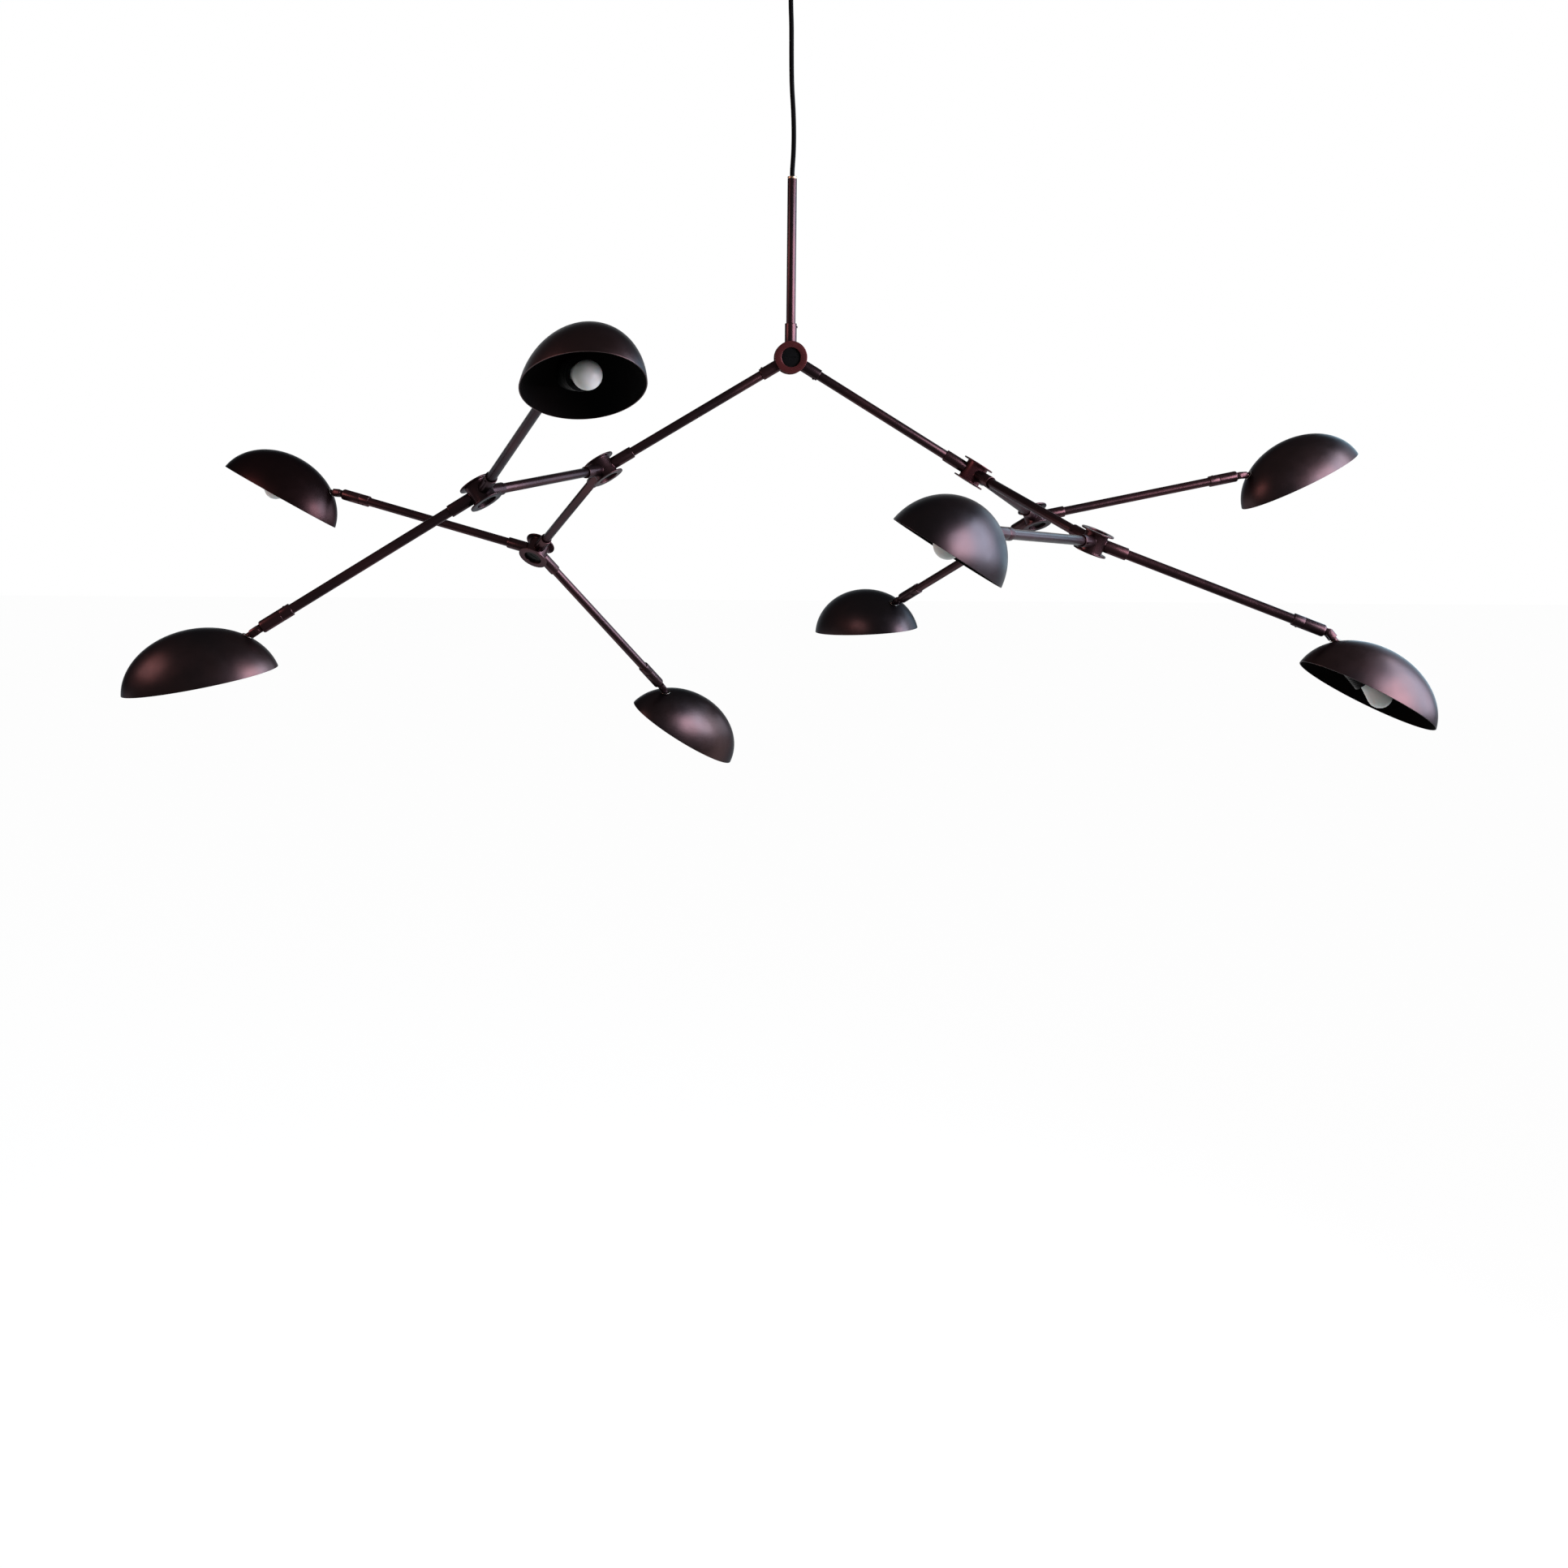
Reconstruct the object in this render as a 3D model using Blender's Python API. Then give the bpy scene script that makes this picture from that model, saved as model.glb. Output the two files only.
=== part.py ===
"""A branching ceiling light: cord, stem, seven spool hubs and eight half-egg shades.

Metres, +Z up. The origin is the middle of the ceiling bracket's top face. Each arm, hub and
lamp is built along its own X axis, outwards from the ceiling, and the empties carry the joints.
"""

import math

import bmesh
import bpy
from mathutils import Matrix, Vector

# Fits shared by all pieces
GAP = 0.0003  # clearance between a piece and its seat
OVERRUN = 0.002  # how far a cutter passes the face that it opens
JOIN = 0.001  # how deep one joined shape reaches into the other
EDGE = 0.0006  # chamfer on turned edges

# Facets of round pieces
TUBE_SIDES = 10
HUB_SIDES = 14
PIN_SIDES = 8
HOLDER_SIDES = 10
CANOPY_SIDES = 18
SHADE_SIDES = 20
SHADE_RINGS = 4
BULB_RINGS = 3
CORNER_STEPS = 2
EAR_STEPS = 3
SHARP_ANGLE = 40.0  # degrees between faces that are shaded as an edge
HALVINGS = 20  # steps of the search for where the lamp's line meets the dome

# Drops below the ceiling
HUB_DROP = 0.550  # ceiling to the middle of the central hub
HUB_SIDE = 0.0045  # middle of the central hub beside the ceiling fitting's own line
STEM_REACH = 0.2452  # middle of the central hub to the top of the stem

# Tubes
TUBE_RADIUS = 0.0065
TUBE_BORE = 0.0052
LONG_ARM = 0.306  # central hub to side hub
SHORT_ARM = 0.302  # side hub to end hub
LAMP_ARM = 0.340  # end hub to tilt pin

# Hubs
SPLIT_CENTRAL = 59.0  # degrees between each long arm and the stem's line
SPLIT_BRANCH = 60.0  # degrees between each outgoing arm and the incoming one's line
DRUM_RADIUS = 0.0160
FLANGE_RADIUS = 0.0227
FLANGE_THICKNESS = 0.0020
HUB_HEIGHT = 0.0300
RECESS_RADIUS = 0.0137
RECESS_DEPTH = 0.0062
SOCKET_RADIUS = 0.00835
SOCKET_REACH = 0.0473
SOCKET_DEPTH = 0.0180

# Arm end: a fixed collar with a spigot, and the sleeve that turns on it
COLLAR_LENGTH = 0.0150
SPIGOT_RADIUS = 0.0045
SPIGOT_BORE = 0.0028
SPIGOT_LENGTH = 0.0200
SLEEVE_LENGTH = 0.0307
SLEEVE_STANDOFF = 0.0060  # sleeve's end to the tilt pin

# Knuckle
EAR_RADIUS = 0.0054
FORK_WIDTH = 0.0130
TONGUE_WIDTH = 0.0046
FORK_WEB = 0.0036
PIN_RADIUS = 0.0020
PIN_HEAD_RADIUS = 0.0034
PIN_HEAD_HEIGHT = 0.0007

# Shade: half an egg lying on its cut side
SHADE_LENGTH = 0.204
SHADE_WIDTH = 0.138
SHADE_DEPTH = 0.068
SHADE_WALL = 0.0014
SLICE_SHARE = 1.01  # radius of the full egg as a share of the slice that the rim cuts
KNUCKLE_OUT = 0.086  # tilt pin from the shade's middle, towards its mounted end
KNUCKLE_UP = 0.051  # tilt pin above the rim

# Lamp holder, along the lamp's line from the tilt pin
LAMP_LEAN = 22.9  # degrees from the rim's plane to the lamp's line
NECK_RADIUS = 0.0046
WASHER_RADIUS = 0.0078
WASHER_THICKNESS = 0.0010
SHOULDER_BEHIND = 0.0045  # shade's wall to the start of the shoulder
SHOULDER_LENGTH = 0.0150
HOLDER_RADIUS = 0.0195
HOLDER_MOUTH = 0.0825  # tilt pin to the holder's open end
MOUTH_RADIUS = 0.0150
MOUTH_DEPTH = 0.0240
BASE_RADIUS = 0.0070
BASE_DEPTH = 0.0220

# Bulb
BULB_RADIUS = 0.0172
BULB_CENTRE = 0.1092  # tilt pin to the middle of the globe
BULB_NECK_RADIUS = 0.0120
BULB_NECK_AT = 0.0830
BULB_SHOULDER = 0.0080  # length of the glass between the base and the neck

# Ceiling fitting
CANOPY_RADIUS = 0.0500
CANOPY_DEPTH = 0.0320
CANOPY_WALL = 0.0012
CANOPY_CORNER = 0.0060
BRACKET_WIDTH = 0.0180
BRACKET_THICKNESS = 0.0020
BRACKET_EAR = 0.0110
SLOT_LENGTH = 0.0140
SLOT_WIDTH = 0.0046
SLOT_SPACING = 0.0540
BLOCK_LENGTH = 0.0280
BLOCK_WIDTH = 0.0140
BLOCK_HEIGHT = 0.0080
BARREL_RADIUS = 0.0034
BARREL_RISE = 0.0030
BARREL_COUNT = 3

# Cord and its fittings
CORD_RADIUS = 0.0033
CORD_SPACING = 0.0150
GRIP_LENGTH = 0.0120
GRIP_RADIUS = 0.0070
GRIP_NOSE_RADIUS = 0.0050
GRIP_SPIGOT_RADIUS = 0.0050
GRIP_NUT_RADIUS = 0.0085
GRIP_NUT_HEIGHT = 0.0040
GLAND_CAP = 0.0030
GLAND_DEPTH = 0.0080

# The cord's own route, hand chosen: sideways and up from the middle of the central hub
CORD_ROUTE = (
    (0.0000, 0.2490),
    (0.0000, 0.2570),
    (0.0013, 0.2800),
    (0.0016, 0.3050),
    (0.0006, 0.3350),
    (-0.0017, 0.3690),
    (-0.0026, 0.4020),
    (-0.0031, 0.4460),
    (-0.0041, 0.4720),
    (-0.0045, 0.4930),
    (-0.0045, 0.5020),
)

# How far each hub is turned on the arm that carries it, in degrees
HUB_TURN = {
    "left_hub": 101.5,
    "right_hub": -86.9,
    "left_front_hub": 1.0,
    "left_rear_hub": -122.4,
    "right_rear_hub": -50.0,
    "right_front_hub": -167.6,
}

# Each hub below the central one: the hub that carries it, the side it leaves by, its arm
HUB_TREE = (
    ("left_hub", "central_hub", -1, "left_long_tube"),
    ("right_hub", "central_hub", 1, "right_long_tube"),
    ("left_front_hub", "left_hub", 1, "left_front_tube"),
    ("left_rear_hub", "left_hub", -1, "left_rear_tube"),
    ("right_rear_hub", "right_hub", 1, "right_rear_tube"),
    ("right_front_hub", "right_hub", -1, "right_front_tube"),
)

# Each lamp: its hub, the side it leaves by, its sleeve's turn and its knuckle's bend in degrees
LAMPS = (
    ("left_front_hub", 1, 54.4, 29.4),
    ("left_front_hub", -1, 72.3, 1.9),
    ("left_rear_hub", -1, -115.9, 10.9),
    ("left_rear_hub", 1, -53.6, 7.0),
    ("right_rear_hub", 1, 82.8, 0.1),
    ("right_rear_hub", -1, 111.3, 8.0),
    ("right_front_hub", 1, -96.1, 10.9),
    ("right_front_hub", -1, -106.1, 29.2),
)


def clear_scene():
    """Removes whatever the scene holds."""
    for obj in list(bpy.data.objects):
        bpy.data.objects.remove(obj)


def finish(name, colour, roughness, metallic):
    """A Principled material with one plain colour."""
    material = bpy.data.materials.new(name)
    material.use_nodes = True
    shader = material.node_tree.nodes["Principled BSDF"]
    shader.inputs["Base Color"].default_value = (*colour, 1.0)
    shader.inputs["Roughness"].default_value = roughness
    shader.inputs["Metallic"].default_value = metallic
    material.diffuse_color = (*colour, 1.0)
    return material


def bronze():
    """Burnt dark brown metal of the tubes and hubs."""
    return finish("dark_bronze", (0.055, 0.028, 0.026), 0.42, 0.9)


def shade_metal():
    """The shades' outside, a little blacker and softer than the tubes."""
    return finish("shade_bronze", (0.035, 0.022, 0.022), 0.5, 0.8)


def holder_black():
    """Black moulded lamp holders."""
    return finish("holder_black", (0.012, 0.012, 0.012), 0.5, 0.0)


def opal_glass():
    """Unlit opal bulb."""
    return finish("opal_glass", (0.78, 0.78, 0.77), 0.25, 0.0)


def brass():
    """Aged brass of the small turned fittings."""
    return finish("aged_brass", (0.42, 0.3, 0.16), 0.35, 1.0)


def cord_black():
    """Black cord sheath."""
    return finish("cord_black", (0.01, 0.01, 0.01), 0.6, 0.0)


def steel():
    """Zinc-plated steel of the ceiling bracket."""
    return finish("plated_steel", (0.6, 0.6, 0.62), 0.35, 1.0)


def terminal_white():
    """White moulded terminal block."""
    return finish("terminal_white", (0.8, 0.8, 0.78), 0.45, 0.0)


def outer_radius(radius, sides):
    """Corner radius of a bore whose flats clear a round piece of this radius by GAP."""
    return (radius + GAP) / math.cos(math.pi / sides)


def ring_point(axis, along, radius, angle):
    """A point on a ring about X or Z."""
    side = radius * math.cos(angle)
    other = radius * math.sin(angle)
    return (along, side, other) if axis == "X" else (side, other, along)


def mesh_of(form):
    """Turns the form's faces outwards and makes a mesh of it."""
    bmesh.ops.recalc_face_normals(form, faces=form.faces)
    mesh = bpy.data.meshes.new("form")
    form.to_mesh(mesh)
    form.free()
    return mesh


def turned(profile, sides, axis="X", hollow=False):
    """A body turned about X or Z from (along, radius) points; a hollow one joins its ends."""
    form = bmesh.new()
    rings = []
    for along, radius in profile:
        steps = range(sides if radius else 1)
        angles = [math.tau * step / sides for step in steps]
        rings.append([form.verts.new(ring_point(axis, along, radius, angle)) for angle in angles])
    pairs = list(zip(rings, rings[1:]))
    if hollow:
        pairs.append((rings[-1], rings[0]))
    for first, second in pairs:
        for step in range(sides):
            after = (step + 1) % sides
            corners = [first[step % len(first)], first[after % len(first)]]
            corners += [second[after % len(second)], second[step % len(second)]]
            form.faces.new(list(dict.fromkeys(corners)))
    if not hollow:
        for end in (rings[0], rings[-1]):
            if len(end) > 1:
                form.faces.new(end)
    return mesh_of(form)


def extruded(outline, low, high):
    """A flat outline in X and Z drawn from low to high along Y."""
    form = bmesh.new()
    near = [form.verts.new((x, low, z)) for x, z in outline]
    far = [form.verts.new((x, high, z)) for x, z in outline]
    form.faces.new(near)
    form.faces.new(far)
    for step, corner in enumerate(near):
        after = (step + 1) % len(near)
        form.faces.new((corner, near[after], far[after], far[step]))
    return mesh_of(form)


def moved(mesh, matrix):
    """The mesh, placed by a matrix."""
    mesh.transform(matrix)
    return mesh


def combined(base, joins=(), cuts=()):
    """The base mesh with other meshes joined to it and then cut from it, as one closed mesh."""
    scene = bpy.context.scene.collection.objects
    work = bpy.data.objects.new("work", base)
    scene.link(work)
    helpers = [work]
    steps = [("UNION", mesh) for mesh in joins] + [("DIFFERENCE", mesh) for mesh in cuts]
    for operation, mesh in steps:
        helper = bpy.data.objects.new("helper", mesh)
        scene.link(helper)
        helpers.append(helper)
        boolean = work.modifiers.new("combine", "BOOLEAN")
        boolean.operation = operation
        boolean.object = helper
    bpy.context.view_layer.update()
    graph = bpy.context.evaluated_depsgraph_get()
    result = bpy.data.meshes.new_from_object(work.evaluated_get(graph))
    for helper in helpers:
        bpy.data.objects.remove(helper)
    return result


def finished(mesh, name, material):
    """Names the mesh, gives it its material, and shades it smooth up to its sharp edges."""
    mesh.name = name
    mesh.materials.clear()
    mesh.materials.append(material)
    mesh.shade_smooth()
    mesh.set_sharp_from_angle(angle=math.radians(SHARP_ANGLE))
    return mesh


def add(name, mesh, parent=None, matrix=None):
    """A named object of the mesh, in its parent's frame."""
    obj = bpy.data.objects.new(name, mesh)
    bpy.context.scene.collection.objects.link(obj)
    obj.parent = parent
    obj.matrix_local = matrix or Matrix.Identity(4)
    return obj


def add_frame(name, parent, matrix):
    """An empty that carries a joint or an arm."""
    frame = add(name, None, parent, matrix)
    frame.empty_display_size = TUBE_RADIUS
    return frame


def along_x(distance):
    """A move along X."""
    return Matrix.Translation((distance, 0, 0))


def turn(degrees, axis):
    """A turn about an axis through the frame's origin."""
    return Matrix.Rotation(math.radians(degrees), 4, axis)


def seat_floor():
    """Distance from a hub's middle to the floor of its sockets."""
    return SOCKET_REACH - SOCKET_DEPTH


def hub_mesh(split):
    """A spool with a recess in each face and three sockets: one back, two forward at the split."""
    half = HUB_HEIGHT / 2
    inner = half - FLANGE_THICKNESS
    floor = half - RECESS_DEPTH
    top = [
        (floor, RECESS_RADIUS),
        (half, RECESS_RADIUS),
        (half, FLANGE_RADIUS),
        (inner, FLANGE_RADIUS),
        (inner, DRUM_RADIUS),
    ]
    spool = turned(top + [(-z, r) for z, r in reversed(top)], HUB_SIDES, axis="Z")
    start = (RECESS_RADIUS + DRUM_RADIUS) / 2
    sockets = []
    bores = []
    for angle in (180, split, -split):
        profile = [(start, SOCKET_RADIUS), (SOCKET_REACH, SOCKET_RADIUS)]
        sockets.append(moved(turned(profile, TUBE_SIDES), turn(angle, "Z")))
        bore = outer_radius(TUBE_RADIUS, TUBE_SIDES)
        hole = [(seat_floor(), bore), (SOCKET_REACH + OVERRUN, bore)]
        bores.append(moved(turned(hole, TUBE_SIDES), turn(angle, "Z")))
    return combined(spool, sockets, bores)


def pipe_mesh(end):
    """A hollow tube from its seat in a hub's socket to this distance from the hub's middle."""
    start = seat_floor() + GAP
    profile = [(start, TUBE_RADIUS), (end, TUBE_RADIUS), (end, TUBE_BORE), (start, TUBE_BORE)]
    return turned(profile, TUBE_SIDES, hollow=True)


def arm_mesh(length):
    """A tube between the sockets of two hubs whose middles lie this far apart."""
    return pipe_mesh(length - seat_floor() - GAP)


def collar_end():
    """Distance from an end hub's middle to the seam between collar and sleeve."""
    return LAMP_ARM - SLEEVE_STANDOFF - SLEEVE_LENGTH - GAP


def lamp_tube_mesh():
    """A tube with its end collar and the hollow spigot that the sleeve turns on."""
    start = seat_floor() + GAP
    seam = collar_end()
    collar = seam - COLLAR_LENGTH
    tip = seam + SPIGOT_LENGTH
    profile = [
        (start, TUBE_RADIUS),
        (collar, TUBE_RADIUS),
        (collar, SOCKET_RADIUS),
        (seam, SOCKET_RADIUS),
        (seam, SPIGOT_RADIUS),
        (tip, SPIGOT_RADIUS),
        (tip, SPIGOT_BORE),
        (start, SPIGOT_BORE),
        (start, TUBE_BORE),
    ]
    return turned(profile, TUBE_SIDES, hollow=True)


def ear_outline(reach):
    """Side view of a knuckle ear: round about the pin and straight to its reach along +X."""
    steps = range(EAR_STEPS + 1)
    angles = [math.pi / 2 + math.pi * step / EAR_STEPS for step in steps]
    outline = [(EAR_RADIUS * math.cos(angle), EAR_RADIUS * math.sin(angle)) for angle in angles]
    return outline + [(reach, -EAR_RADIUS), (reach, EAR_RADIUS)]


def sleeve_mesh():
    """The turning sleeve with its bore, the knuckle's tongue and the riveted tilt pin.

    X runs along the arm towards the lamp and Y is the tilt pin's axis.
    """
    end = -SLEEVE_STANDOFF
    start = end - SLEEVE_LENGTH
    floor = start + SPIGOT_LENGTH + GAP
    bore = outer_radius(SPIGOT_RADIUS, TUBE_SIDES)
    profile = [
        (floor, bore),
        (start, bore),
        (start, SOCKET_RADIUS),
        (end - EDGE, SOCKET_RADIUS),
        (end, SOCKET_RADIUS - EDGE),
    ]
    sleeve = turned(profile, TUBE_SIDES)
    half = TONGUE_WIDTH / 2
    tongue = extruded(ear_outline(SLEEVE_STANDOFF + JOIN), -half, half)
    head = FORK_WIDTH / 2 + GAP
    ends = head + PIN_HEAD_HEIGHT
    pin_profile = [
        (-ends, PIN_HEAD_RADIUS),
        (-head, PIN_HEAD_RADIUS),
        (-head, PIN_RADIUS),
        (head, PIN_RADIUS),
        (head, PIN_HEAD_RADIUS),
        (ends, PIN_HEAD_RADIUS),
    ]
    pin = moved(turned(pin_profile, PIN_SIDES), turn(90, "Z"))
    return combined(sleeve, [moved(tongue, turn(180, "Z")), pin])


def dome_height(share):
    """Height of the shade's dome, as a share of its depth, at a share of its half length or width."""
    base = math.sqrt(SLICE_SHARE**2 - 1)
    return (math.sqrt(SLICE_SHARE**2 - share**2) - base) / (SLICE_SHARE - base)


def wall_crossing():
    """Where the lamp's line meets the dome: the distance from the tilt pin, and the wall's slope."""
    lean = math.radians(LAMP_LEAN)
    near = 0
    far = KNUCKLE_OUT / math.cos(lean)
    half = SHADE_LENGTH / 2
    for _ in range(HALVINGS):
        middle = (near + far) / 2
        share = (KNUCKLE_OUT - middle * math.cos(lean)) / half
        up = KNUCKLE_UP - middle * math.sin(lean)
        inside = share < 1 and up < SHADE_DEPTH * dome_height(share)
        near, far = (near, middle) if inside else (middle, far)
    share = (KNUCKLE_OUT - far * math.cos(lean)) / half
    base = math.sqrt(SLICE_SHARE**2 - 1)
    fall = share / math.sqrt(SLICE_SHARE**2 - share**2) / (SLICE_SHARE - base)
    slope = math.degrees(math.atan(fall * SHADE_DEPTH / half))
    return far, slope


def shade_surface(form, length, width, depth):
    """Rings of a dome from its rim to its top, standing on Z = 0."""
    rings = []
    edge = math.asin(1 / SLICE_SHARE)
    base = math.sqrt(SLICE_SHARE**2 - 1)
    for ring in range(SHADE_RINGS + 1):
        tilt = edge * (1 - ring / SHADE_RINGS)
        share = SLICE_SHARE * math.sin(tilt)
        height = depth * (SLICE_SHARE * math.cos(tilt) - base) / (SLICE_SHARE - base)
        points = []
        for step in range(SHADE_SIDES if ring < SHADE_RINGS else 1):
            angle = math.tau * step / SHADE_SIDES
            x = length / 2 * share * math.cos(angle)
            y = width / 2 * share * math.sin(angle)
            points.append(form.verts.new((x, y, height)))
        rings.append(points)
    return rings


def shade_mesh():
    """The half-egg shell with a flat rim and the slanting hole for the lamp holder's neck.

    X points from the shade's middle to its mounted end, and Z from the rim to the dome's top.
    """
    form = bmesh.new()
    outer = shade_surface(form, SHADE_LENGTH, SHADE_WIDTH, SHADE_DEPTH)
    wall = 2 * SHADE_WALL
    inner = shade_surface(form, SHADE_LENGTH - wall, SHADE_WIDTH - wall, SHADE_DEPTH - SHADE_WALL)
    pairs = list(zip(outer, outer[1:])) + list(zip(inner, inner[1:])) + [(inner[0], outer[0])]
    for first, second in pairs:
        for step in range(SHADE_SIDES):
            after = (step + 1) % SHADE_SIDES
            corners = [first[step], first[after]]
            corners += [second[after % len(second)], second[step % len(second)]]
            form.faces.new(list(dict.fromkeys(corners)))
    shell = mesh_of(form)
    crossing, _ = wall_crossing()
    bore = outer_radius(NECK_RADIUS, HOLDER_SIDES)
    reach = NECK_RADIUS + SHADE_WALL + OVERRUN
    hole = turned([(crossing - reach, bore), (crossing + reach, bore)], HOLDER_SIDES)
    return combined(shell, cuts=[moved(hole, shade_from_lamp())])


def shade_from_lamp():
    """Places the lamp's frame, whose X runs from the tilt pin along the lamp, in the shade's."""
    return Matrix.Translation((KNUCKLE_OUT, 0, KNUCKLE_UP)) @ turn(180 - LAMP_LEAN, "Y")


def holder_mesh():
    """Fork, neck, washer and lamp holder in one, along the lamp's line from the tilt pin."""
    crossing, slope = wall_crossing()
    web = EAR_RADIUS + GAP + FORK_WEB
    shoulder = crossing + SHADE_WALL + SHOULDER_BEHIND
    body = shoulder + SHOULDER_LENGTH
    bore = outer_radius(BASE_RADIUS, HOLDER_SIDES)
    floor = HOLDER_MOUTH - MOUTH_DEPTH
    profile = [
        (web - JOIN, NECK_RADIUS),
        (shoulder, NECK_RADIUS),
        (body, HOLDER_RADIUS),
        (HOLDER_MOUTH, HOLDER_RADIUS),
        (HOLDER_MOUTH, MOUTH_RADIUS),
        (floor, MOUTH_RADIUS),
        (floor, bore),
        (floor - BASE_DEPTH, bore),
    ]
    holder = turned(profile, HOLDER_SIDES)
    half = FORK_WIDTH / 2
    fork = extruded(ear_outline(web), -half, half)
    lean = turn(slope + LAMP_LEAN - 90, "Y")
    washer = turned([(0, WASHER_RADIUS), (WASHER_THICKNESS, WASHER_RADIUS)], TUBE_SIDES)
    seat = along_x(crossing) @ lean @ along_x(-GAP - WASHER_THICKNESS)
    far = EAR_RADIUS + OVERRUN
    near = EAR_RADIUS + GAP
    slot = TONGUE_WIDTH / 2 + GAP
    fork_gap = extruded([(-far, -far), (near, -far), (near, far), (-far, far)], -slot, slot)
    hole = outer_radius(PIN_RADIUS, PIN_SIDES)
    pin_hole = turned([(-half - OVERRUN, hole), (half + OVERRUN, hole)], PIN_SIDES)
    cuts = [fork_gap, moved(pin_hole, turn(90, "Z"))]
    return combined(holder, [fork, moved(washer, seat)], cuts)


def bulb_mesh():
    """A small opal bulb: screw base, waist, and a globe with a round tip."""
    floor = HOLDER_MOUTH - MOUTH_DEPTH
    lean = math.asin((BULB_RADIUS - BULB_NECK_RADIUS) / (BULB_CENTRE - BULB_NECK_AT))
    profile = [
        (floor - BASE_DEPTH + GAP, BASE_RADIUS),
        (floor, BASE_RADIUS),
        (floor + BULB_SHOULDER, BULB_NECK_RADIUS - EDGE),
        (BULB_NECK_AT, BULB_NECK_RADIUS),
    ]
    for ring in range(BULB_RINGS + 1):
        angle = (math.pi / 2 + lean) * (1 - ring / BULB_RINGS)
        along = BULB_CENTRE + BULB_RADIUS * math.cos(angle)
        radius = BULB_RADIUS * math.sin(angle) if ring < BULB_RINGS else 0
        profile.append((along, radius))
    return turned(profile, TUBE_SIDES)


def canopy_mesh():
    """The ceiling cup, open at the top, with a hole for the cord grip in its floor."""
    hole = outer_radius(GRIP_SPIGOT_RADIUS, TUBE_SIDES)
    bottom = -CANOPY_DEPTH
    outside = [(0, CANOPY_RADIUS)]
    inside = [(0, CANOPY_RADIUS - CANOPY_WALL)]
    for step in range(CORNER_STEPS + 1):
        angle = math.pi / 2 * step / CORNER_STEPS
        out = CANOPY_RADIUS - CANOPY_CORNER + CANOPY_CORNER * math.cos(angle)
        down = bottom + CANOPY_CORNER - CANOPY_CORNER * math.sin(angle)
        outside.append((down, out))
        corner = CANOPY_CORNER - CANOPY_WALL
        out = CANOPY_RADIUS - CANOPY_CORNER + corner * math.cos(angle)
        down = bottom + CANOPY_CORNER - corner * math.sin(angle)
        inside.append((down, out))
    outside.append((bottom, hole))
    inside.append((bottom + CANOPY_WALL, hole))
    return turned(outside + inside[::-1], CANOPY_SIDES, axis="Z", hollow=True)


def bracket_reach():
    """Half the ceiling bracket's length: its square ends stay clear of the canopy's wall."""
    clear = (CANOPY_RADIUS - CANOPY_WALL) * math.cos(math.pi / CANOPY_SIDES) - GAP
    return math.sqrt(clear**2 - (BRACKET_WIDTH / 2) ** 2)


def slot_outline():
    """A slot with round ends, in X and Z."""
    radius = SLOT_WIDTH / 2
    straight = SLOT_LENGTH / 2 - radius
    outline = []
    for side in (1, -1):
        for step in range(EAR_STEPS + 1):
            angle = math.pi * step / EAR_STEPS - math.pi / 2
            x = side * (straight + radius * math.cos(angle))
            outline.append((x, side * radius * math.sin(angle)))
    return outline


def bracket_mesh():
    """The ceiling strap: a bar with two screw slots and its ends bent down inside the canopy."""
    reach = bracket_reach()
    inner = reach - BRACKET_THICKNESS
    outline = [
        (-reach, 0),
        (reach, 0),
        (reach, -BRACKET_EAR),
        (inner, -BRACKET_EAR),
        (inner, -BRACKET_THICKNESS),
        (-inner, -BRACKET_THICKNESS),
        (-inner, -BRACKET_EAR),
        (-reach, -BRACKET_EAR),
    ]
    strap = extruded(outline, -BRACKET_WIDTH / 2, BRACKET_WIDTH / 2)
    cuts = []
    for side in (1, -1):
        place = Matrix.Translation((side * SLOT_SPACING / 2, 0, 0)) @ turn(90, "X")
        depth = BRACKET_THICKNESS + OVERRUN
        cuts.append(moved(extruded(slot_outline(), -depth, depth), place))
    return combined(strap, cuts=cuts)


def block_mesh():
    """The mains terminal block under the bracket: a bar with its row of screw barrels."""
    top = -BRACKET_THICKNESS - GAP
    bottom = top - BLOCK_HEIGHT
    half = BLOCK_LENGTH / 2
    outline = [(-half, bottom), (half, bottom), (half, top), (-half, top)]
    bar = extruded(outline, -BLOCK_WIDTH / 2, BLOCK_WIDTH / 2)
    pitch = BLOCK_LENGTH / BARREL_COUNT
    barrels = []
    for number in range(BARREL_COUNT):
        place = along_x(pitch * number + pitch / 2 - half)
        profile = [(bottom - BARREL_RISE, BARREL_RADIUS), (bottom + JOIN, BARREL_RADIUS)]
        barrels.append(moved(turned(profile, PIN_SIDES, axis="Z"), place))
    return combined(bar, barrels)


def grip_bottom():
    """Height of the cord grip's nose."""
    return -CANOPY_DEPTH - GAP - GRIP_LENGTH


def grip_mesh():
    """The cord grip: tapered nose, collar, spigot through the canopy, and its nut inside."""
    below = -CANOPY_DEPTH - GAP
    above = -CANOPY_DEPTH + CANOPY_WALL + GAP
    profile = [
        (grip_bottom(), GRIP_NOSE_RADIUS),
        (grip_bottom() + GRIP_LENGTH / 2, GRIP_RADIUS),
        (below, GRIP_RADIUS),
        (below, GRIP_SPIGOT_RADIUS),
        (above, GRIP_SPIGOT_RADIUS),
        (above, GRIP_NUT_RADIUS),
        (above + GRIP_NUT_HEIGHT, GRIP_NUT_RADIUS),
    ]
    return turned(profile, TUBE_SIDES, axis="Z")


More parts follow.
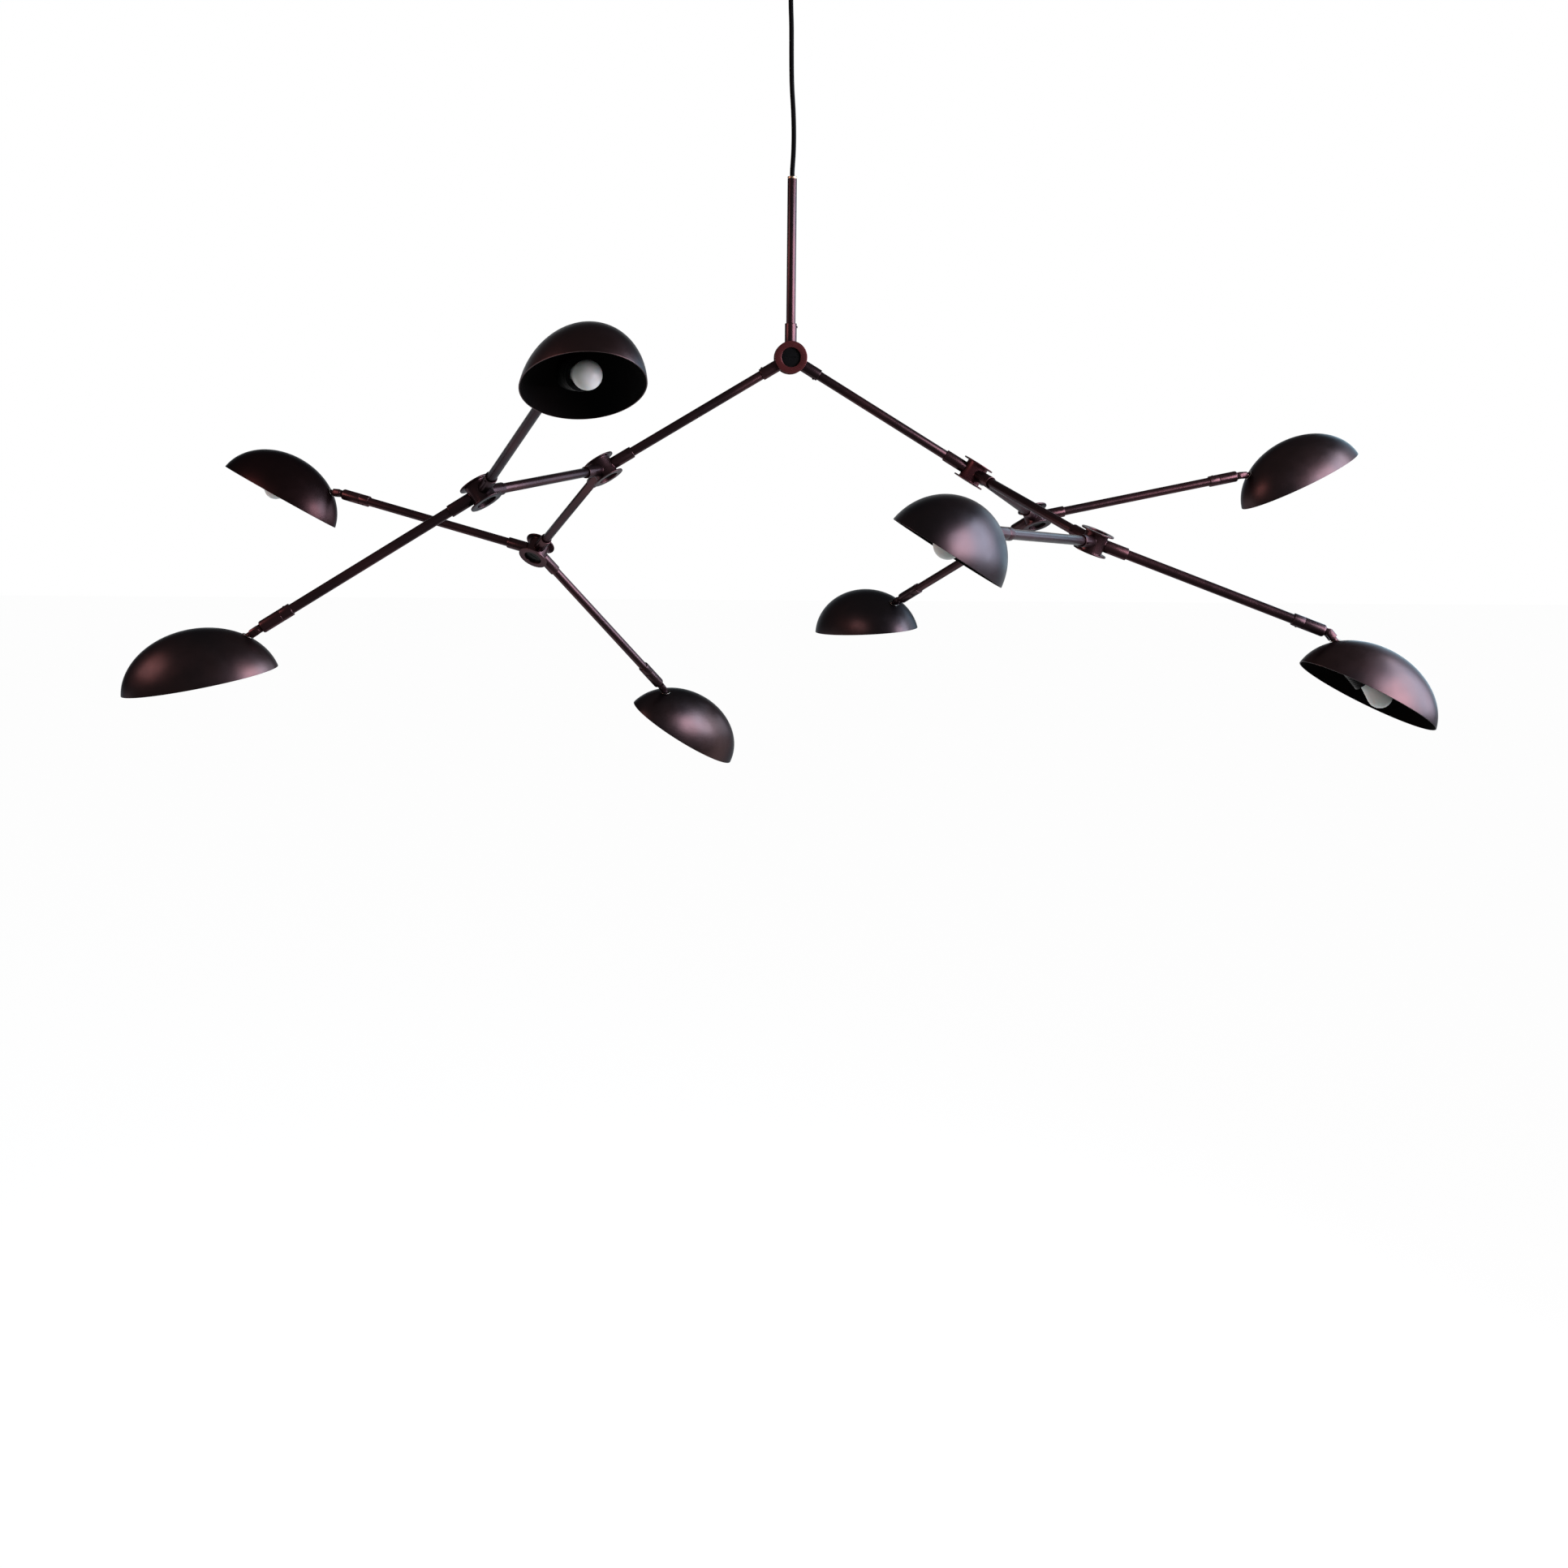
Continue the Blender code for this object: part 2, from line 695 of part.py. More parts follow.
def gland_mesh():
    """The ring that closes the stem round the cord, with its spigot inside the tube."""
    low = STEM_REACH + GAP
    plug = TUBE_BORE * math.cos(math.pi / TUBE_SIDES) - GAP
    profile = [
        (low - GLAND_DEPTH, plug),
        (low, plug),
        (low, TUBE_RADIUS),
        (low + GLAND_CAP, TUBE_RADIUS),
    ]
    return turned(profile, TUBE_SIDES, axis="Z")


def route_point(points, place):
    """A point on the smooth curve through the route, at a place counted in route steps."""
    first = min(int(place), len(points) - 2)
    share = place - first
    near = [points[max(first - 1, 0)], points[first], points[first + 1]]
    near.append(points[min(first + 2, len(points) - 1)])
    weights = (
        (-share + 2 * share**2 - share**3) / 2,
        (2 - 5 * share**2 + 3 * share**3) / 2,
        (share + 4 * share**2 - 3 * share**3) / 2,
        (share**3 - share**2) / 2,
    )
    return sum((point * weight for point, weight in zip(near, weights)), Vector())


def cord_points():
    """Points along the cord, from the gland on the stem to the grip in the ceiling fitting."""
    bottom = -HUB_DROP + STEM_REACH + GAP + GLAND_CAP + GAP
    top = grip_bottom() - GAP
    low = CORD_ROUTE[0][1]
    high = CORD_ROUTE[-1][1]
    scale = (top - bottom) / (high - low)
    route = [Vector((HUB_SIDE + side, 0, bottom + (up - low) * scale)) for side, up in CORD_ROUTE]
    count = round((top - bottom) / CORD_SPACING)
    return [route_point(route, (len(route) - 1) * step / count) for step in range(count + 1)]


def add_cord(material):
    """The cord, a round tube along its route."""
    curve = bpy.data.curves.new("drop_cord", "CURVE")
    curve.dimensions = "3D"
    curve.bevel_depth = CORD_RADIUS
    curve.bevel_resolution = 2
    curve.use_fill_caps = True
    points = cord_points()
    spline = curve.splines.new("POLY")
    spline.points.add(len(points) - 1)
    for target, point in zip(spline.points, points):
        target.co = (*point, 1.0)
    spline.use_smooth = True
    curve.materials.append(material)
    return add("drop_cord", curve)


def add_ceiling_fitting(dark, brassy):
    """Canopy, bracket, terminal block and cord grip."""
    add("canopy", finished(canopy_mesh(), "canopy", dark))
    add("ceiling_bracket", finished(bracket_mesh(), "ceiling_bracket", steel()))
    add("terminal_block", finished(block_mesh(), "terminal_block", terminal_white()))
    add("cord_grip", finished(grip_mesh(), "cord_grip", dark))
    place = Matrix.Translation((HUB_SIDE, 0, -HUB_DROP))
    add("stem_gland", finished(gland_mesh(), "stem_gland", brassy), matrix=place)


def add_hubs(dark):
    """The central hub, the stem, and every hub below with the tube that carries it."""
    downwards = Matrix(((0, 1, 0), (0, 0, -1), (-1, 0, 0))).to_4x4()
    centre = Matrix.Translation((HUB_SIDE, 0, -HUB_DROP)) @ downwards
    central = finished(hub_mesh(SPLIT_CENTRAL), "central_hub", dark)
    branch = finished(hub_mesh(SPLIT_BRANCH), "branch_hub", dark)
    frames = {"central_hub": add_frame("central_hub_frame", None, centre)}
    add("central_hub", central, frames["central_hub"])
    stem = finished(pipe_mesh(STEM_REACH), "stem_tube", dark)
    add("stem_tube", stem, frames["central_hub"], turn(180, "Z"))
    long_tube = finished(arm_mesh(LONG_ARM), "long_tube", dark)
    short_tube = finished(arm_mesh(SHORT_ARM), "short_tube", dark)
    long_way = (LONG_ARM, SPLIT_CENTRAL, long_tube)
    short_way = (SHORT_ARM, SPLIT_BRANCH, short_tube)
    for name, carrier, side, tube_name in HUB_TREE:
        length, split, tube = long_way if carrier == "central_hub" else short_way
        along = turn(side * split, "Z")
        add(tube_name, tube, frames[carrier], along)
        joint = along @ along_x(length) @ turn(HUB_TURN[name], "X")
        frames[name] = add_frame(name + "_turn", frames[carrier], joint)
        add(name, branch, frames[name])
    return frames


def add_lamps(frames, dark):
    """The eight lamps: tube, sleeve, holder, shade and bulb on each end hub's arms."""
    tube = finished(lamp_tube_mesh(), "lamp_tube", dark)
    sleeve = finished(sleeve_mesh(), "sleeve", dark)
    holder = finished(holder_mesh(), "lamp_holder", holder_black())
    shade = finished(shade_mesh(), "shade", shade_metal())
    bulb = finished(bulb_mesh(), "bulb", opal_glass())
    for number, (hub, side, swivel, bend) in enumerate(LAMPS, 1):
        along = turn(side * SPLIT_BRANCH, "Z")
        add(f"lamp_tube_{number}", tube, frames[hub], along)
        turning = along @ along_x(LAMP_ARM) @ turn(swivel + 90, "X")
        swivel_frame = add_frame(f"swivel_{number}_frame", frames[hub], turning)
        add(f"swivel_sleeve_{number}", sleeve, swivel_frame)
        tilt_frame = add_frame(f"tilt_{number}_frame", swivel_frame, turn(-bend, "Y"))
        add(f"lamp_holder_{number}", holder, tilt_frame)
        add(f"bulb_{number}", bulb, tilt_frame)
        add(f"shade_{number}", shade, tilt_frame, shade_from_lamp().inverted())


def main():
    """Builds the whole light."""
    clear_scene()
    dark = bronze()
    add_ceiling_fitting(dark, brass())
    add_cord(cord_black())
    frames = add_hubs(dark)
    add_lamps(frames, dark)


main()
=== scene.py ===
"""Looks of a branching ceiling light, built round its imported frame.

Metres, +Z up. The origin is the middle of the ceiling bracket's top face. Each piece is built
along its own X axis, outwards from the ceiling, and is then placed by the frame of its joint.
"""

import logging
import math
from collections.abc import Iterable, Sequence
from dataclasses import dataclass, field, replace
from enum import Enum, IntEnum
from typing import Any

import bmesh
import bpy
from mathutils import Matrix, Vector


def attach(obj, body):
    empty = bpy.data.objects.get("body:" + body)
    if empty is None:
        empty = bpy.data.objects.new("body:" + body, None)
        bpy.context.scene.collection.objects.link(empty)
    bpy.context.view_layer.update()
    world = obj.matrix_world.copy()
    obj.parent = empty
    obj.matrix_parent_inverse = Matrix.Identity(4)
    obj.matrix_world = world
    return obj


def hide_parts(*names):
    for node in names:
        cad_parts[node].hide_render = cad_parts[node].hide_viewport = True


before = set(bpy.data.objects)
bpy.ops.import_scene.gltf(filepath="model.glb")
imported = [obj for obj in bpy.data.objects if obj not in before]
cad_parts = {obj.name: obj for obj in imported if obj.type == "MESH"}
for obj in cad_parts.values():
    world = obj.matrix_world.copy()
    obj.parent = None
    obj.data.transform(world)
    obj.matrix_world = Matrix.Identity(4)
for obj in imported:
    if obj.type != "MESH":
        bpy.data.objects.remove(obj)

log = logging.getLogger("ceiling_light")

Outline = Sequence[tuple[float, float]]
Colour = tuple[float, float, float]

GAP = 0.0003  # clearance between a piece and its seat
SHARP = 35.0  # degrees between faces from which an edge shades as sharp
EDGE = "edge"  # point attribute: 1 on an edge drawn lighter, as rubbing by handling and, on the shade's rim and the seat washer, as a painted highlight; 0 away from it
TURN = "turn"  # point attribute: rotation of what is placed there, as Euler angles
LINING = "lining"  # point attribute: 1 on the inside of a shell
LINED = 0.75  # its mean over a face from which the face takes the lining's finish
RIM_STEP = 0.999  # share of the way from a shell's top to its edge from which it counts as rim
SAME_PLACE = 1e-6  # metres between points that are one
CENTRAL = "central_hub"
STEM_BODY = "stem_body"


class Slot(Enum):
    """The record's material slots."""

    BRONZE = "dark_bronze"
    SHADE = "shade_metal"
    HOLDER = "holder_black"
    BULB = "opal_bulb"
    CORD = "cord"
    BRASS = "brass"
    STEEL = "plated_steel"
    TERMINAL = "terminal_white"


class Sides(IntEnum):
    """How many sides or steps go once round a shape."""

    NUT = 6
    BEAD = 8
    SCREW = 16
    THREAD = 20
    BORE = 32
    PIN = 40
    TUBE = 48
    FITTING = 56
    CAP = 64
    HOLDER = 72
    DRUM = 96


# Frames of the joints


@dataclass(frozen=True)
class Branch:
    """A hub below the central one.

    Attributes:
        name: The hub's CAD node.
        carrier: The hub that carries it.
        side: The side of the carrier that it leaves by, 1 or -1.
        tube: The CAD node of the tube between them.
        roll: The hub's turn on that tube, in degrees.
    """

    name: str
    carrier: str
    side: int
    tube: str
    roll: float


@dataclass(frozen=True)
class LampPlace:
    """Where a lamp hangs.

    Attributes:
        number: The lamp's number in the CAD nodes' names.
        hub: The end hub that carries it.
        side: The side of the hub that it leaves by, 1 or -1.
        swivel: The sleeve's turn, in degrees.
        bend: The knuckle's bend, in degrees.
    """

    number: int
    hub: str
    side: int
    swivel: float
    bend: float


BRANCHES = (
    Branch("left_hub", CENTRAL, -1, "left_long_tube", 101.5),
    Branch("right_hub", CENTRAL, 1, "right_long_tube", -86.9),
    Branch("left_front_hub", "left_hub", 1, "left_front_tube", 1.0),
    Branch("left_rear_hub", "left_hub", -1, "left_rear_tube", -122.4),
    Branch("right_rear_hub", "right_hub", 1, "right_rear_tube", -50.0),
    Branch("right_front_hub", "right_hub", -1, "right_front_tube", -167.6),
)
LAMPS = (
    LampPlace(1, "left_front_hub", 1, 54.4, 29.4),
    LampPlace(2, "left_front_hub", -1, 72.3, 1.9),
    LampPlace(3, "left_rear_hub", -1, -115.9, 10.9),
    LampPlace(4, "left_rear_hub", 1, -53.6, 7.0),
    LampPlace(5, "right_rear_hub", 1, 82.8, 0.1),
    LampPlace(6, "right_rear_hub", -1, 111.3, 8.0),
    LampPlace(7, "right_front_hub", 1, -96.1, 10.9),
    LampPlace(8, "right_front_hub", -1, -106.1, 29.2),
)


def body_of(hub: str) -> str:
    """The body that a hub rides on: the fixed stem's, for the central one."""
    return STEM_BODY if hub == CENTRAL else hub.replace("_hub", "_body")


def along(distance: float) -> Matrix:
    """A move along X."""
    return Matrix.Translation((distance, 0, 0))


def turn(degrees: float, axis: str) -> Matrix:
    """A turn about an axis through the frame's origin."""
    return Matrix.Rotation(math.radians(degrees), 4, axis)


@dataclass(frozen=True)
class Linkage:
    """The tree of arms and hubs, as frames in the row's own axes."""

    hub_drop: float = 0.550
    hub_side: float = 0.0045
    long_arm: float = 0.306
    short_arm: float = 0.302
    lamp_arm: float = 0.340
    split_central: float = 59.0
    split_branch: float = 60.0

    def centre(self) -> Matrix:
        """The central hub's frame: X down, Y to the right, Z to the front."""
        downwards = Matrix(((0, 1, 0), (0, 0, -1), (-1, 0, 0))).to_4x4()
        return Matrix.Translation((self.hub_side, 0, -self.hub_drop)) @ downwards

    def split(self, hub: str) -> float:
        """Degrees between a hub's outgoing tubes and the incoming one's line."""
        return self.split_central if hub == CENTRAL else self.split_branch

    def arm(self, hubs: dict[str, Matrix], branch: Branch) -> tuple[Matrix, float]:
        """Places the tube to a hub.

        Args:
            hubs: The frames of the hubs found so far, its carrier's among them.
            branch: The hub.

        Returns:
            The tube's frame, from its carrier's middle, and the distance between the hubs.
        """
        length = self.long_arm if branch.carrier == CENTRAL else self.short_arm
        return hubs[branch.carrier] @ turn(branch.side * self.split(branch.carrier), "Z"), length

    def hubs(self) -> dict[str, Matrix]:
        """Places the hubs.

        Returns:
            The frame of every hub, by node name.
        """
        found = {CENTRAL: self.centre()}
        for branch in BRANCHES:
            start, length = self.arm(found, branch)
            found[branch.name] = start @ along(length) @ turn(branch.roll, "X")
        return found

    def lamp_tube(self, hubs: dict[str, Matrix], lamp: LampPlace) -> Matrix:
        """The frame of a lamp's tube, from its hub's middle."""
        return hubs[lamp.hub] @ turn(lamp.side * self.split_branch, "Z")

    def sleeve(self, hubs: dict[str, Matrix], lamp: LampPlace) -> Matrix:
        """The frame of a lamp's sleeve, at its tilt pin, with Y along the pin."""
        return self.lamp_tube(hubs, lamp) @ along(self.lamp_arm) @ turn(lamp.swivel + 90, "X")

    def lamp(self, hubs: dict[str, Matrix], lamp: LampPlace) -> Matrix:
        """The frame of a lamp, at its tilt pin, with X along the lamp's line."""
        return self.sleeve(hubs, lamp) @ turn(-lamp.bend, "Y")


# Making meshes


def softened(
    corners: Outline, fillet: float, steps: int = 3, closed: bool = False, most: float = 0.4
) -> list[tuple[float, float, float]]:
    """Rounds the corners of an outline and weighs each point by how much of an edge it is.

    Args:
        corners: The outline's corners.
        fillet: How far from each corner its rounding begins.
        steps: How many steps round each corner.
        closed: Whether the outline joins its own ends.
        most: The most of a side's length that a rounding takes.

    Returns:
        Points as (first, second, edge weight).
    """
    points: list[tuple[float, float, float]] = []
    count = len(corners)
    for index, corner in enumerate(corners):
        here = Vector(corner)
        if not closed and index in (0, count - 1):
            points.append((*here, 0.0))
            continue
        before = Vector(corners[index - 1]) - here
        after = Vector(corners[(index + 1) % count]) - here
        reach = min(fillet, before.length * most, after.length * most)
        start = here + before.normalized() * reach
        end = here + after.normalized() * reach
        for step in range(steps + 1):
            share = step / steps
            point = start.lerp(here, share).lerp(here.lerp(end, share), share)
            points.append((*point, math.sin(math.pi * share)))
    return points


class Form:
    """A mesh under construction, whose points carry the edge weight."""

    def __init__(self) -> None:
        """Starts an empty form."""
        self.shape = bmesh.new()
        self.edge = self.shape.verts.layers.float.new(EDGE)

    def lathe(
        self,
        corners: Outline,
        sides: int,
        place: Matrix | None = None,
        fillet: float = 0.0003,
        steps: int = 3,
        closed: bool = False,
    ) -> "Form":
        """Turns an outline of (along, radius) corners about X.

        Args:
            corners: The outline, from end to end, or round a closed section.
            sides: Facets round the axis.
            place: Where the turned body goes.
            fillet: Rounding of its corners.
            steps: Steps of that rounding.
            closed: Whether the section closes on itself, as a ring's does.

        Returns:
            The form.
        """
        place = place or Matrix()
        rings = []
        for x, radius, weight in softened(corners, fillet, steps, closed):
            ring = []
            for step in range(sides if radius else 1):
                angle = math.tau * step / sides
                point = place @ Vector((x, radius * math.cos(angle), radius * math.sin(angle)))
                vertex = self.shape.verts.new(point)
                vertex[self.edge] = weight
                ring.append(vertex)
            rings.append(ring)
        pairs = list(zip(rings, rings[1:]))
        if closed:
            pairs.append((rings[-1], rings[0]))
        for first, second in pairs:
            for step in range(sides):
                after = (step + 1) % sides
                around = [first[step % len(first)], first[after % len(first)]]
                around += [second[after % len(second)], second[step % len(second)]]
                self.shape.faces.new(list(dict.fromkeys(around)))
        return self

    def slab(self, corners: Outline, low: float, high: float, place: Matrix | None = None) -> "Form":
        """Draws a flat outline in X and Z out along Y.

        Args:
            corners: The outline.
            low: Where it starts.
            high: Where it ends.
            place: Where the slab goes.

        Returns:
            The form.
        """
        place = place or Matrix()
        near = [self.shape.verts.new(place @ Vector((x, low, z))) for x, z in corners]
        far = [self.shape.verts.new(place @ Vector((x, high, z))) for x, z in corners]
        self.shape.faces.new(near)
        self.shape.faces.new(far)
        for step, corner in enumerate(near):
            after = (step + 1) % len(near)
            self.shape.faces.new((corner, near[after], far[after], far[step]))
        return self

    def mesh(self) -> bpy.types.Mesh:
        """Turns the faces outwards.

        Returns:
            The finished mesh.
        """
        bmesh.ops.recalc_face_normals(self.shape, faces=self.shape.faces)
        made = bpy.data.meshes.new("form")
        self.shape.to_mesh(made)
        self.shape.free()
        return made


def linked(name: str, data: bpy.types.ID) -> bpy.types.Object:
    """Puts data into the scene.

    Args:
        name: The object's name.
        data: Its mesh, curve, lamp or camera.

    Returns:
        The object.
    """
    made = bpy.data.objects.new(name, data)
    bpy.context.scene.collection.objects.link(made)
    return made


def plain(work: bpy.types.Object, *helpers: bpy.types.Object) -> bpy.types.Mesh:
    """Runs an object's modifiers, and removes the objects.

    Args:
        work: The object.
        helpers: Others that its modifiers use.

    Returns:
        The plain mesh that comes out.
    """
    bpy.context.view_layer.update()
    graph = bpy.context.evaluated_depsgraph_get()
    made = bpy.data.meshes.new_from_object(work.evaluated_get(graph))
    for used in (work, *helpers):
        bpy.data.objects.remove(used)
    return made


def combined(base: bpy.types.Mesh, operation: str, *tools: bpy.types.Mesh) -> bpy.types.Mesh:
    """Combines a shape with others.

    Args:
        base: The shape.
        operation: DIFFERENCE or INTERSECT.
        tools: The others.

    Returns:
        What the base has outside the tools, or shares with them.
    """
    work = linked("work", base)
    helpers = [linked("helper", tool) for tool in tools]
    for helper in helpers:
        modifier = work.modifiers.new("combine", "BOOLEAN")
        modifier.operation = operation
        modifier.object = helper
    return plain(work, *helpers)


def bevelled(mesh: bpy.types.Mesh, width: float) -> bpy.types.Mesh:
    """Rounds a shape's sharp edges.

    Args:
        mesh: The shape.
        width: Width of the rounding.

    Returns:
        The rounded shape.
    """
    work = linked("work", mesh)
    modifier = work.modifiers.new("bevel", "BEVEL")
    modifier.width = width
    modifier.segments = 2
    modifier.limit_method = "ANGLE"
    return plain(work)


def merged(parts: Iterable[tuple[bpy.types.Mesh, Matrix]]) -> bpy.types.Mesh:
    """Several placed meshes as one.

    Args:
        parts: Each mesh and its place.

    Returns:
        The mesh of them all, with the edge weight kept.
    """
    whole = bmesh.new()
    for mesh, place in parts:
        mesh.transform(place)
        whole.from_mesh(mesh)
    made = bpy.data.meshes.new("merged")
    whole.to_mesh(made)
    whole.free()
    return made


# Node trees


class Wiring:
    """A node tree, filled in node by node."""

    def __init__(self, tree: bpy.types.NodeTree) -> None:
        """Takes the tree."""
        self.tree = tree

    def feed(self, node: bpy.types.Node, inputs: dict[Any, Any]) -> None:
        """Fills a node's inputs.

        Args:
            node: The node.
            inputs: By name or number, a socket that is linked or a value that is set.
        """
        for key, value in inputs.items():
            if isinstance(value, bpy.types.NodeSocket):
                self.tree.links.new(value, node.inputs[key])
            else:
                node.inputs[key].default_value = value

    def node(self, kind: str, inputs: dict[Any, Any] | None = None, **settings: Any) -> Any:
        """Adds a node.

        Args:
            kind: Its type.
            inputs: What feeds it.
            settings: Its own settings.

        Returns:
            The node.
        """
        made = self.tree.nodes.new(kind)
        for name, value in settings.items():
            setattr(made, name, value)
        self.feed(made, inputs or {})
        return made

    def out(self, kind: str, inputs: dict[Any, Any] | None = None, **settings: Any) -> Any:
        """The first output of a new node."""
        return self.node(kind, inputs, **settings).outputs[0]

    def maths(self, operation: str, first: Any, second: Any = 0.0, clamp: bool = False) -> Any:
        """The result of an operation on two sockets or numbers."""
        return self.out("ShaderNodeMath", {0: first, 1: second}, operation=operation, use_clamp=clamp)

    def plus(self, first: Any, second: Any) -> Any:
        """The sum of two sockets or numbers."""
        return self.maths("ADD", first, second)

    def minus(self, first: Any, second: Any) -> Any:
        """The first socket or number less the second."""
        return self.maths("SUBTRACT", first, second)

    def times(self, first: Any, second: Any) -> Any:
        """The product of two sockets or numbers."""
        return self.maths("MULTIPLY", first, second)

    def over(self, first: Any, second: Any) -> Any:
        """The first socket or number divided by the second."""
        return self.maths("DIVIDE", first, second)


class Sheet(Wiring):
    """A node group with named inputs and outputs."""

    def __init__(self, name: str, kind: str) -> None:
        """Starts an empty group.

        Args:
            name: The group's name.
            kind: ShaderNodeTree or GeometryNodeTree.
        """
        super().__init__(bpy.data.node_groups.new(name, kind))
        self.start = self.tree.nodes.new("NodeGroupInput")
        self.end = self.tree.nodes.new("NodeGroupOutput")
        self.keys: dict[str, str] = {}

    def takes(self, name: str, value: Any, kind: str = "NodeSocketFloat") -> Any:
        """Adds a named input.

        Args:
            name: Its name.
            value: Its value where none is given, or None where it has no plain one.
            kind: Its socket's type.

        Returns:
            Its socket inside the group.
        """
        socket = self.tree.interface.new_socket(name=name, in_out="INPUT", socket_type=kind)
        if value is not None:
            socket.default_value = value
        self.keys[name] = socket.identifier
        return self.start.outputs[name]

    def gives(self, name: str, source: Any, kind: str = "NodeSocketFloat") -> None:
        """Adds a named output, fed by a socket."""
        self.tree.interface.new_socket(name=name, in_out="OUTPUT", socket_type=kind)
        self.tree.links.new(source, self.end.inputs[name])


def points_mesh(places: Sequence[Matrix]) -> bpy.types.Mesh:
    """Makes loose points, each with the turn of its place.

    Args:
        places: The places.

    Returns:
        The mesh of the points.
    """
    made = bpy.data.meshes.new("places")
    made.from_pydata([place.to_translation() for place in places], [], [])
    turns = made.attributes.new(TURN, "FLOAT_VECTOR", "POINT")
    for index, place in enumerate(places):
        turns.data[index].vector = place.to_euler()
    return made


class GeometrySheet(Sheet):
    """A Geometry Nodes tree that makes one kind of piece."""

    def __init__(self, name: str) -> None:
        """Starts the tree with its geometry input."""
        super().__init__(name, "GeometryNodeTree")
        self.seed = self.takes("Geometry", None, "NodeSocketGeometry")

    def circle(self, sides: int, radius: Any) -> Any:
        """A circle curve of this radius."""
        return self.out("GeometryNodeCurvePrimitiveCircle", {"Radius": radius, "Resolution": sides})

    def position(self) -> Any:
        """The node that splits a point's position into X, Y and Z."""
        place = self.out("GeometryNodeInputPosition")
        return self.node("ShaderNodeSeparateXYZ", {0: place})

    def dressed(self, geometry: Any, name: str, **where: Any) -> Any:
        """Gives a geometry the material of a new named input.

        Args:
            geometry: The geometry.
            name: The input's name.
            where: A Selection, if only some faces take it.

        Returns:
            The dressed geometry.
        """
        material = self.takes(name, None, "NodeSocketMaterial")
        return self.out("GeometryNodeSetMaterial", {"Geometry": geometry, "Material": material, **where})

    def spread(self, geometry: Any) -> None:
        """Puts a geometry at every point, turned as its attribute says, and ends the tree.

        Args:
            geometry: The geometry.
        """
        named = self.node("GeometryNodeInputNamedAttribute", {"Name": TURN}, data_type="FLOAT_VECTOR")
        euler = self.out("FunctionNodeEulerToRotation", {"Euler": named.outputs["Attribute"]})
        copies = self.out(
            "GeometryNodeInstanceOnPoints",
            {"Points": self.seed, "Instance": geometry, "Rotation": euler},
        )
        whole = self.out("GeometryNodeRealizeInstances", {"Geometry": copies})
        self.gives("Geometry", self.dressed(whole, "Material"), "NodeSocketGeometry")

    def grow(self, places: Sequence[Matrix], values: dict[str, Any]) -> bpy.types.Mesh:
        """Runs the tree at some places.

        Args:
            places: The places that the tree reads.
            values: The tree's inputs, by name.

        Returns:
            The plain mesh, whose maker object and modifier are gone.
        """
        maker = linked("maker", points_mesh(places))
        modifier = maker.modifiers.new("grow", "NODES")
        modifier.node_group = self.tree
        for name, value in values.items():
            modifier[self.keys[name]] = value
        return plain(maker)


class GrubScrews(GeometrySheet):
    """Set screws with a round recess, standing on Z at each place."""

    def __init__(self) -> None:
        """Builds the tree."""
        super().__init__("grub_screws")
        radius = self.takes("Radius", 0.0016)
        height = self.takes("Height", 0.0016)
        recess = self.takes("Recess", 0.0010)
        recess_share = self.takes("Recess Share", 0.6)
        size = {"Vertices": Sides.SCREW, "Radius": radius, "Depth": height}
        barrel = self.out("GeometryNodeMeshCylinder", size, fill_type="NGON")
        normal = self.out("GeometryNodeInputNormal")
        split = self.node("ShaderNodeSeparateXYZ", {0: normal})
        upper = self.maths("GREATER_THAN", split.outputs["Z"], 0.5)
        inset = self.node(
            "GeometryNodeExtrudeMesh",
            {"Mesh": barrel, "Selection": upper, "Offset Scale": 0.0},
        )
        top = inset.outputs["Top"]
        ring = self.out(
            "GeometryNodeScaleElements",
            {"Geometry": inset.outputs["Mesh"], "Selection": top, "Scale": recess_share},
        )
        sunk = self.out(
            "GeometryNodeExtrudeMesh",
            {"Mesh": ring, "Selection": top, "Offset Scale": self.times(recess, -1.0)},
        )
        self.spread(sunk)


class SaddleBeads(GeometrySheet):
    """The thin bead where a socket of one radius leaves a drum of another."""

    def __init__(self) -> None:
        """Builds the tree."""
        super().__init__("saddle_beads")
        drum = self.takes("Drum Radius", 0.016)
        socket = self.takes("Socket Radius", 0.008)
        bead = self.takes("Bead Radius", 0.0005)
        flat = self.position().outputs
        reach = self.maths("SQRT", self.minus(self.times(drum, drum), self.times(flat["X"], flat["X"])))
        saddle = self.out("ShaderNodeCombineXYZ", {"X": reach, "Y": flat["X"], "Z": flat["Y"]})
        line = self.out(
            "GeometryNodeSetPosition",
            {"Geometry": self.circle(Sides.TUBE, socket), "Position": saddle},
        )
        profile = self.circle(Sides.BEAD, bead)
        self.spread(self.out("GeometryNodeCurveToMesh", {"Curve": line, "Profile Curve": profile}))


class ScrewThread(GeometrySheet):
    """A thread that winds up Z from each place."""

    def __init__(self) -> None:
        """Builds the tree."""
        super().__init__("screw_thread")
        radius = self.takes("Radius", 0.0045)
        length = self.takes("Length", 0.010)
        pitch = self.takes("Pitch", 0.001)
        crest = self.takes("Crest", 0.0003)
        winding = self.out(
            "GeometryNodeCurveSpiral",
            {
                "Resolution": Sides.THREAD,
                "Rotations": self.over(length, pitch),
                "Start Radius": radius,
                "End Radius": radius,
                "Height": length,
            },
        )
        profile = self.circle(4, crest)
        ends = {"Curve": winding, "Profile Curve": profile, "Fill Caps": True}
        self.spread(self.out("GeometryNodeCurveToMesh", ends))


